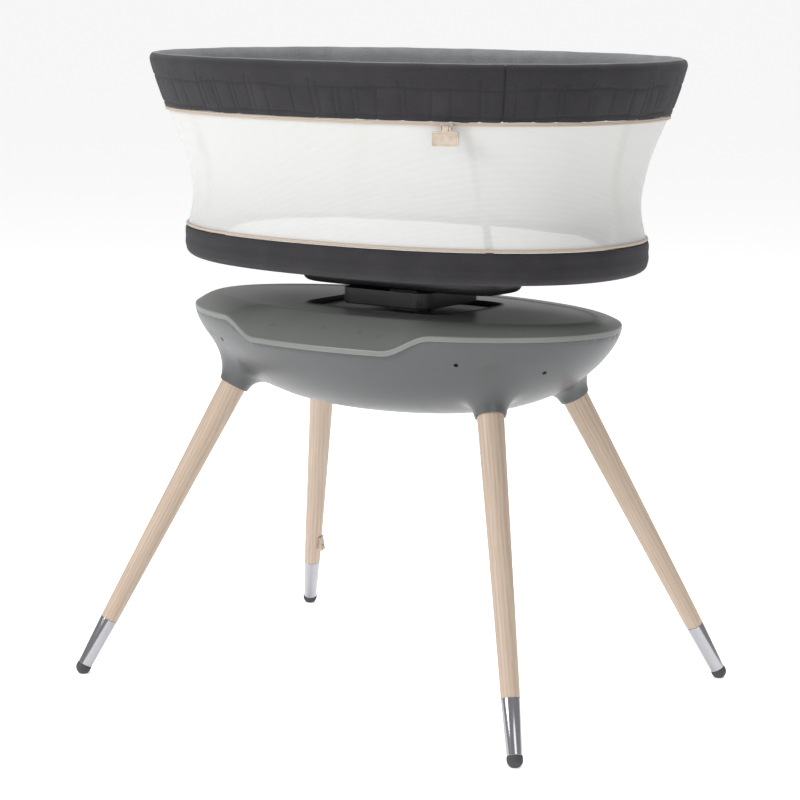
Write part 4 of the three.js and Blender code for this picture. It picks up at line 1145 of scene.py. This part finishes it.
class Tucks:
    """The stitched windowpane lines of the upper band. Lengths are in millimetres."""

    def __init__(self, length, depth, seed, spacing, levels):
        self.length, self.depth, self.levels, self.seed = length, depth, levels, seed
        count = int(length / spacing)
        self.lines = []
        for i in range(count):
            spot = length * (i + 0.5 + 0.36 * (noise_of(i, seed) - 0.5)) / count
            low = levels[0] - 30 if noise_of(i, seed, 3) > 0.45 else levels[0] - 6
            high = levels[-1] if noise_of(i, seed, 5) > 0.4 else levels[-1] + 12
            slant = 5 * (noise_of(i, seed, 7) - 0.5)
            self.lines.append((spot, low, high, slant, 0.75))
            if noise_of(i, seed, 9) > 0.42:
                gap = 8 + 4 * noise_of(i, seed, 11)
                self.lines.append((spot + gap, levels[0], levels[-1] + 6, slant * 0.4, 0.5))
        self.lines += [(length * share, -40, 400, 0.0, 2.0) for share in BAND_SEAMS]
        self.table = {}
        for line in self.lines:
            for cell in range(int((line[0] - 16) // 10), int((line[0] + 16) // 10) + 1):
                self.table.setdefault(cell % int(length // 10 + 1), []).append(line)

    def at(self, along, rise):
        """How far the cloth is drawn in at a point."""
        pull = 0.0
        cells = int(self.length // 10 + 1)
        for spot, low, high, slant, weight in self.table.get(int(along // 10) % cells, ()):
            off = along - spot - slant * (rise - 40) / 40
            if low - 2 < rise < high + 2 and abs(off) < 12:
                pull = max(pull, weight * math.exp(-(off / 1.3) ** 2) + 0.25 * math.exp(-(off / 6) ** 2))
        for index, level in enumerate(self.levels):
            sway = 1.2 * math.sin(along / 43 + index) + 0.8 * math.sin(along / 17 + 2 * index)
            off = rise - level - sway
            patch = noise_of(int(along // 38), index, self.seed)
            strength = 0.35 + 0.65 * smoothstep(2.2 * patch) if index else 1.0
            if abs(off) < 14:
                pull = max(pull, strength * math.exp(-(off / 1.2) ** 2) + 0.25 * math.exp(-(off / 6) ** 2))
        return self.depth * pull


class BASSINET_OT_upper_band(bpy.types.Operator):
    """Sews the upper band: quilted outside, rolled over the frame tube and gathered inside"""
    bl_idname = "bassinet.upper_band"
    bl_label = "Upper band"

    def execute(self, context):
        settings = context.scene.bassinet_basket
        wall = Wall(RIM_X, RIM_Y, TOP_POWER, 1080)
        profile = self.profile()
        for inset, z in profile:
            half = top_size(z)
            wall.grow(oval_ring(half[0] - inset, half[1] - inset, z, TOP_POWER))
        wall.map()
        outward(wall.bm)
        self.quilt(wall, settings.tuck / MM)
        crest = max(v[wall.rise] for v in wall.bm.verts if v.co.z > CREST_Z - 1.2)
        # Faces from LIT_ROLL_START outside the crest inwards take the lighter lining cloth: on the roll's top
        # this is a painted highlight.
        for face in wall.bm.faces:
            face.material_index = 1 if min(v[wall.rise] for v in face.verts) > crest - LIT_ROLL_START else 0
        piece = settle(new_object("quilted_band", wall.bm, ("band", "lining")), 70)
        place_piece(piece, "basket", "charcoal_fabric", "upper_band")
        return {"FINISHED"}

    def profile(self):
        """Inset and height of each ring, from the outer hem over the rim to the inner hem."""
        points = [(2.4, HIP_Z + 9), (2.2, HIP_Z + 2.2), (1.0, HIP_Z + 0.4), (0.0, HIP_Z + 1.2)]
        shoulder = CREST_Z - ROLL_HEIGHT
        steps = 35
        for step in range(1, steps + 1):
            share = step / steps
            points.append((-1.2 * math.sin(math.pi * share), HIP_Z + 1 + (shoulder - HIP_Z - 1) * share))
        half = SLEEVE / 2 + 2.4
        for step in range(1, 19):
            turn = math.pi * step / 18
            points.append((half * (1 - math.cos(turn)), shoulder + ROLL_HEIGHT * math.sin(turn)))
        inner = HIP_Z + 9
        for step in range(1, 25):
            share = step / 24
            points.append((2 * half + 1.5 * math.sin(math.pi * share), shoulder + (inner - shoulder) * share))
        return points + [(2 * half - 1.0, inner - 0.6), (2 * half - 2.0, inner + 0.4),
                         (2 * half - 2.2, inner + 6)]

    def quilt(self, wall, depth):
        """Draws the cloth in along its stitched lines and gathers the inside."""
        bm = wall.bm
        bm.normal_update()
        crest = next(v[wall.rise] for v in bm.verts if v.co.z > CREST_Z - 0.8)
        outside = Tucks(wall.length, depth, 4, 38, (17, 57))
        inside = Tucks(wall.length, depth * 1.3, 9, 33, (46, 62))
        tuck = bm.verts.layers.float.new("tuck")
        angle_of = bm.verts.layers.float["angle"]
        along_of, rise_of = bm.verts.layers.float["along"], bm.verts.layers.float["rise"]
        moves = []
        for vert in bm.verts:
            along, rise, angle = vert[along_of], vert[rise_of], vert[angle_of]
            if rise < crest:
                pull = outside.at(along, rise) * smoothstep((rise - 3) / 4)
            else:
                pull = inside.at(along, rise - crest) * smoothstep((rise - crest - 30) / 10)
            # Stores how far each point is drawn in; the band's material paints shade from it along the
            # creases.
            vert[tuck] = min(1.0, pull / depth)
            puff = (0.35 * math.sin(along / 23 + 2 * math.sin(rise / 19))
                    + 0.25 * math.sin(along / 9.7 + rise / 13))
            hem = 1.1 * (ripple(21, 1.0)(angle)) * (1 - smoothstep(rise / 40))
            moves.append((vert, -pull + puff * 0.6, hem))
        for vert, out, hem in moves:
            vert.co += vert.normal * out
            vert.co.z += hem


# ---- Zip pull -----------------------------------------------------------
def pull_matrix():
    """Stands on the basket's side at the zip: -Y points straight out."""
    x = 227
    y = -HIP_Y * (1 - (x / HIP_X) ** TOP_POWER) ** (1 / TOP_POWER)
    slope_x = x ** (TOP_POWER - 1) / HIP_X ** TOP_POWER
    slope_y = abs(y) ** (TOP_POWER - 1) / HIP_Y ** TOP_POWER
    return (Matrix.Translation((x, y, HIP_Z))
            @ Matrix.Rotation(math.atan2(slope_x, slope_y), 4, "Z"))


class BASSINET_OT_zip(bpy.types.Operator):
    """Makes the zip's slider and its tan pull"""
    bl_idname = "bassinet.zip"
    bl_label = "Zip pull"

    def execute(self, context):
        matrix = pull_matrix()
        slider = block((18, 3.6, 9), (0, -2.8, -5), 1.1)
        for side in (-1, 1):
            merged(slider, block((2.6, 6.4, 5), (side * 6.5, -7.2, -7.6), 0.7))
        pin = turned([(0, 0), (1, 0), (1, 14), (0, 14)], 16,
                     Matrix.Translation((-7, -8.2, -7.5)) @ Matrix.Rotation(math.pi / 2, 4, "Y"))
        merged(slider, pin)
        bmesh.ops.transform(slider, matrix=matrix, verts=slider.verts[:])
        piece = settle(new_object("slider", slider, "hide"))
        place_piece(piece, "zip_slider", "tan_trim", "zip_slider")

        tab = bmesh.new()
        bmesh.ops.create_cube(tab, size=1.0)
        bmesh.ops.scale(tab, vec=(37, 4, 20), verts=tab.verts[:])
        bmesh.ops.translate(tab, vec=(0, -8.2, -22), verts=tab.verts[:])
        depthwise = [e for e in tab.edges if abs(e.verts[0].co.y - e.verts[1].co.y) > 3]
        rounded_edges(tab, depthwise, 3, 6)
        faces = [f for f in tab.faces if abs(f.normal.y) > 0.99]
        for face in faces:
            bmesh.ops.inset_individual(tab, faces=[face], thickness=2.0, depth=0.0)
            bmesh.ops.inset_individual(tab, faces=[face], thickness=0.5, depth=-0.35)
            bmesh.ops.inset_individual(tab, faces=[face], thickness=0.5, depth=0.45)
        merged(tab, block((9, 4, 9), (0, -8.2, -8.6), 1.0))
        bmesh.ops.transform(tab, matrix=matrix, verts=tab.verts[:])
        piece = settle(new_object("pull", tab, "hide"))
        place_piece(piece, "pull_tab", "tan_trim", "pull_tab")
        return {"FINISHED"}


# ---- Mattress -----------------------------------------------------------
class BASSINET_OT_mattress(bpy.types.Operator):
    """Lets the mattress cloth swell over its foam"""
    bl_idname = "bassinet.mattress"
    bl_label = "Mattress"

    def execute(self, context):
        settings = context.scene.bassinet_mattress
        low, high = node_box("mattress")
        half_x, half_y = (high.x - low.x) / 2, (high.y - low.y) / 2
        wall = Wall(half_x, half_y, 2.5, 96)
        for inset, z in ((10, low.z + 1), (5, low.z + 6), (4, (low.z + high.z) / 2),
                         (5, high.z - 9), (11, high.z - 4)):
            wall.grow(oval_ring(half_x - inset, half_y - inset, z, 2.5))
        wall.cap(wall.first, wall.loop)
        outward(wall.bm)
        MATERIALS["mattress"] = mattress_material("mattress_cloth", tuple(settings.cloth))
        piece = new_object("mattress_pad", wall.bm, "mattress")
        remesh = piece.modifiers.new("grid", "REMESH")
        remesh.mode = "VOXEL"
        remesh.voxel_size = settings.detail
        settle(piece)
        self.swell(context, piece, settings)
        soft = piece.modifiers.new("soft", "SUBSURF")
        soft.levels = soft.render_levels = 1
        settle(piece, 80)
        piece.data.materials.clear()
        piece.data.materials.append(material("mattress"))
        place_piece(piece, "basket", "mattress_fabric", "mattress")
        return {"FINISHED"}

    def swell(self, context, piece, settings):
        scene = context.scene
        rest = np.array([v.co for v in piece.data.vertices])
        cloth = piece.modifiers.new("swell", "CLOTH")
        cloth.settings.use_pressure = True
        cloth.settings.uniform_pressure_force = 4
        cloth.settings.effector_weights.gravity = 0
        cloth.point_cache.frame_start, cloth.point_cache.frame_end = 1, settings.steps
        for number in range(1, settings.steps + 1):
            scene.frame_set(number)
        graph = context.evaluated_depsgraph_get()
        made = piece.evaluated_get(graph).to_mesh()
        moved = np.array([v.co for v in made.vertices])
        piece.evaluated_get(graph).to_mesh_clear()
        piece.modifiers.clear()
        scene.frame_set(1)
        step = moved - rest
        far = np.linalg.norm(step, axis=1, keepdims=True)
        step *= np.minimum(1, settings.swell / np.maximum(far, 1e-9))
        final = rest + step
        final[:, 2] = np.maximum(final[:, 2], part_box("mattress")[0].z + 0.0005)
        piece.data.vertices.foreach_set("co", final.ravel())
        piece.data.update()


# ---- Frame parts that keep their shape ----------------------------------
class BASSINET_OT_inner_parts(bpy.types.Operator):
    """Finishes the drive, the tray, the struts and the other parts that keep their own shape"""
    bl_idname = "bassinet.inner_parts"
    bl_label = "Inner parts"

    def execute(self, context):
        screws = [name for name in NODES if name.startswith("case_screw")]
        bushes = [name for name in NODES if name.startswith("glide_bush")]
        struts = [name for name in NODES if name.startswith("side_strut")]
        dress(screws + bushes + ["glide_rod_front", "glide_rod_rear", "glide_motor", "lift_motor",
                                 "lift_column", "upper_frame_tube"], "steel")
        dress(["rail_plate_left", "rail_plate_right", "glide_bracket", "glide_pinion", "carriage",
               "lift_pinion", "basket_tray", "mattress_board", "shutter_plate"], "dark")
        dress(struts + ["glide_rack", "lift_rack"], "pale")
        dress(["control_board"], "board")
        self.inlet()
        return {"FINISHED"}

    def inlet(self):
        """The wooden inlet keeps its shape. Its streaks run upright."""
        s = Shader("inlet_wood", Specular_IOR_Level=0.4)
        settings = bpy.context.scene.bassinet_stand
        place = s.place()
        streaks = s.noise(s.scaled(place, (380, 380, 22)), 1.0, 3.0)
        fine = s.noise(place, 900.0, 2.0)
        s.set(Base_Color=s.mix(streaks.smooth(0.3, 0.7), shade(settings.wood, 1.05), settings.wood_dark),
              Roughness=fine * 0.1 + 0.46, Normal=s.bump(streaks, 0.0001, 0.5))
        node = NODES["power_inlet_housing"]
        node.data.materials.clear()
        node.data.materials.append(s.material)


# ---- Stage --------------------------------------------------------------
class BASSINET_OT_stage(bpy.types.Operator):
    """Sets the camera, the pale floor and the soft studio lights"""
    bl_idname = "bassinet.stage"
    bl_label = "Stage"

    def execute(self, context):
        settings = context.scene.bassinet_stage
        self.camera(context.scene, settings)
        self.floor(settings)
        self.lights(context.scene, settings)
        return {"FINISHED"}

    def camera(self, scene, settings):
        a, e, r = settings.azimuth, settings.pitch, settings.roll
        back = Vector((math.sin(a) * math.cos(e), -math.cos(a) * math.cos(e), math.sin(e)))
        right = Vector((math.cos(a), math.sin(a), 0))
        up = back.cross(right)
        axes = (right * math.cos(r) + up * math.sin(r), up * math.cos(r) - right * math.sin(r), back)
        middle = right * -0.0032 + Vector((STAND_X * MM, 0, 0.4273))
        data = bpy.data.cameras.new("camera")
        data.lens, data.sensor_width = settings.lens, 36
        camera = bpy.data.objects.new("camera", data)
        camera.matrix_world = (Matrix.Translation(middle + back * settings.distance)
                               @ Matrix(axes).transposed().to_4x4())
        scene.collection.objects.link(camera)
        scene.camera = camera

    def floor(self, settings):
        bm = bmesh.new()
        bmesh.ops.create_circle(bm, cap_ends=True, radius=400, segments=96)
        bmesh.ops.translate(bm, vec=(0, 0, -0.0005), verts=bm.verts[:])
        s = Shader("floor_paper", Specular_IOR_Level=0.1)
        cloud = s.noise(s.place(), 1.2, 2.0)
        tone = tuple(settings.floor)
        s.surface.inputs["Emission Color"].default_value = (1, 1, 1, 1)
        s.surface.inputs["Emission Strength"].default_value = 0.46
        MATERIALS["floor"] = s.set(Base_Color=s.mix(cloud * 0.3, tone, shade(tone, 0.985)),
                                   Roughness=0.9)
        new_object("floor", bm, "floor", 1.0)

    def lights(self, scene, settings):
        world = bpy.data.worlds.new("studio")
        world.use_nodes = True
        sky = world.node_tree.nodes["Background"]
        sky.inputs["Color"].default_value = (1, 1, 1, 1)
        sky.inputs["Strength"].default_value = 0.50
        scene.world = world
        scene.view_settings.view_transform = "Standard"
        middle = Vector((0, 0, 0.5))
        rows = (("key", (-1.5, -3.3, 2.3), 1.6, 1.0), ("fill", (3.4, -2.2, 1.7), 1.8, 0.24),
                ("top", (0.0, 0.3, 3.2), 2.2, 1.15), ("back", (-1.4, 3.0, 2.4), 1.6, 0.12))
        for name, spot, size, share in rows:
            data = bpy.data.lights.new(name, "AREA")
            data.energy, data.size = settings.key * share, size
            lamp = bpy.data.objects.new(name, data)
            lamp.location = spot
            lamp.rotation_euler = (middle - Vector(spot)).to_track_quat("-Z", "Y").to_euler()
            scene.collection.objects.link(lamp)


class BASSINET_PT_panel(bpy.types.Panel):
    """Lists the settings and the pieces"""
    bl_idname = "BASSINET_PT_panel"
    bl_label = "Bassinet on Stand"
    bl_space_type = "VIEW_3D"
    bl_region_type = "UI"
    bl_category = "Bassinet"

    def draw(self, context):
        for name, group in SETTINGS.items():
            box = self.layout.box()
            box.label(text=name.replace("bassinet_", "").capitalize())
            for setting in group.__annotations__:
                box.prop(getattr(context.scene, name), setting)
        for operator in OPERATORS:
            self.layout.operator(operator.bl_idname)


SETTINGS = {
    "bassinet_stand": StandSettings,
    "bassinet_base": BaseSettings,
    "bassinet_basket": BasketSettings,
    "bassinet_mattress": MattressSettings,
    "bassinet_stage": StageSettings,
}
OPERATORS = (
    BASSINET_OT_stage, BASSINET_OT_legs, BASSINET_OT_bowl, BASSINET_OT_cover, BASSINET_OT_controls,
    BASSINET_OT_mount, BASSINET_OT_lower_band, BASSINET_OT_net, BASSINET_OT_upper_band, BASSINET_OT_zip,
    BASSINET_OT_mattress, BASSINET_OT_inner_parts,
)


def register():
    for cls in (*SETTINGS.values(), *OPERATORS, BASSINET_PT_panel):
        bpy.utils.register_class(cls)
    for name, group in SETTINGS.items():
        setattr(bpy.types.Scene, name, PointerProperty(type=group))


def unregister():
    for name in SETTINGS:
        delattr(bpy.types.Scene, name)
    for cls in reversed((*SETTINGS.values(), *OPERATORS, BASSINET_PT_panel)):
        bpy.utils.unregister_class(cls)


def main():
    register()
    for operator in OPERATORS:
        family, name = operator.bl_idname.split(".")
        getattr(getattr(bpy.ops, family), name)()


if __name__ == "__main__":
    main()
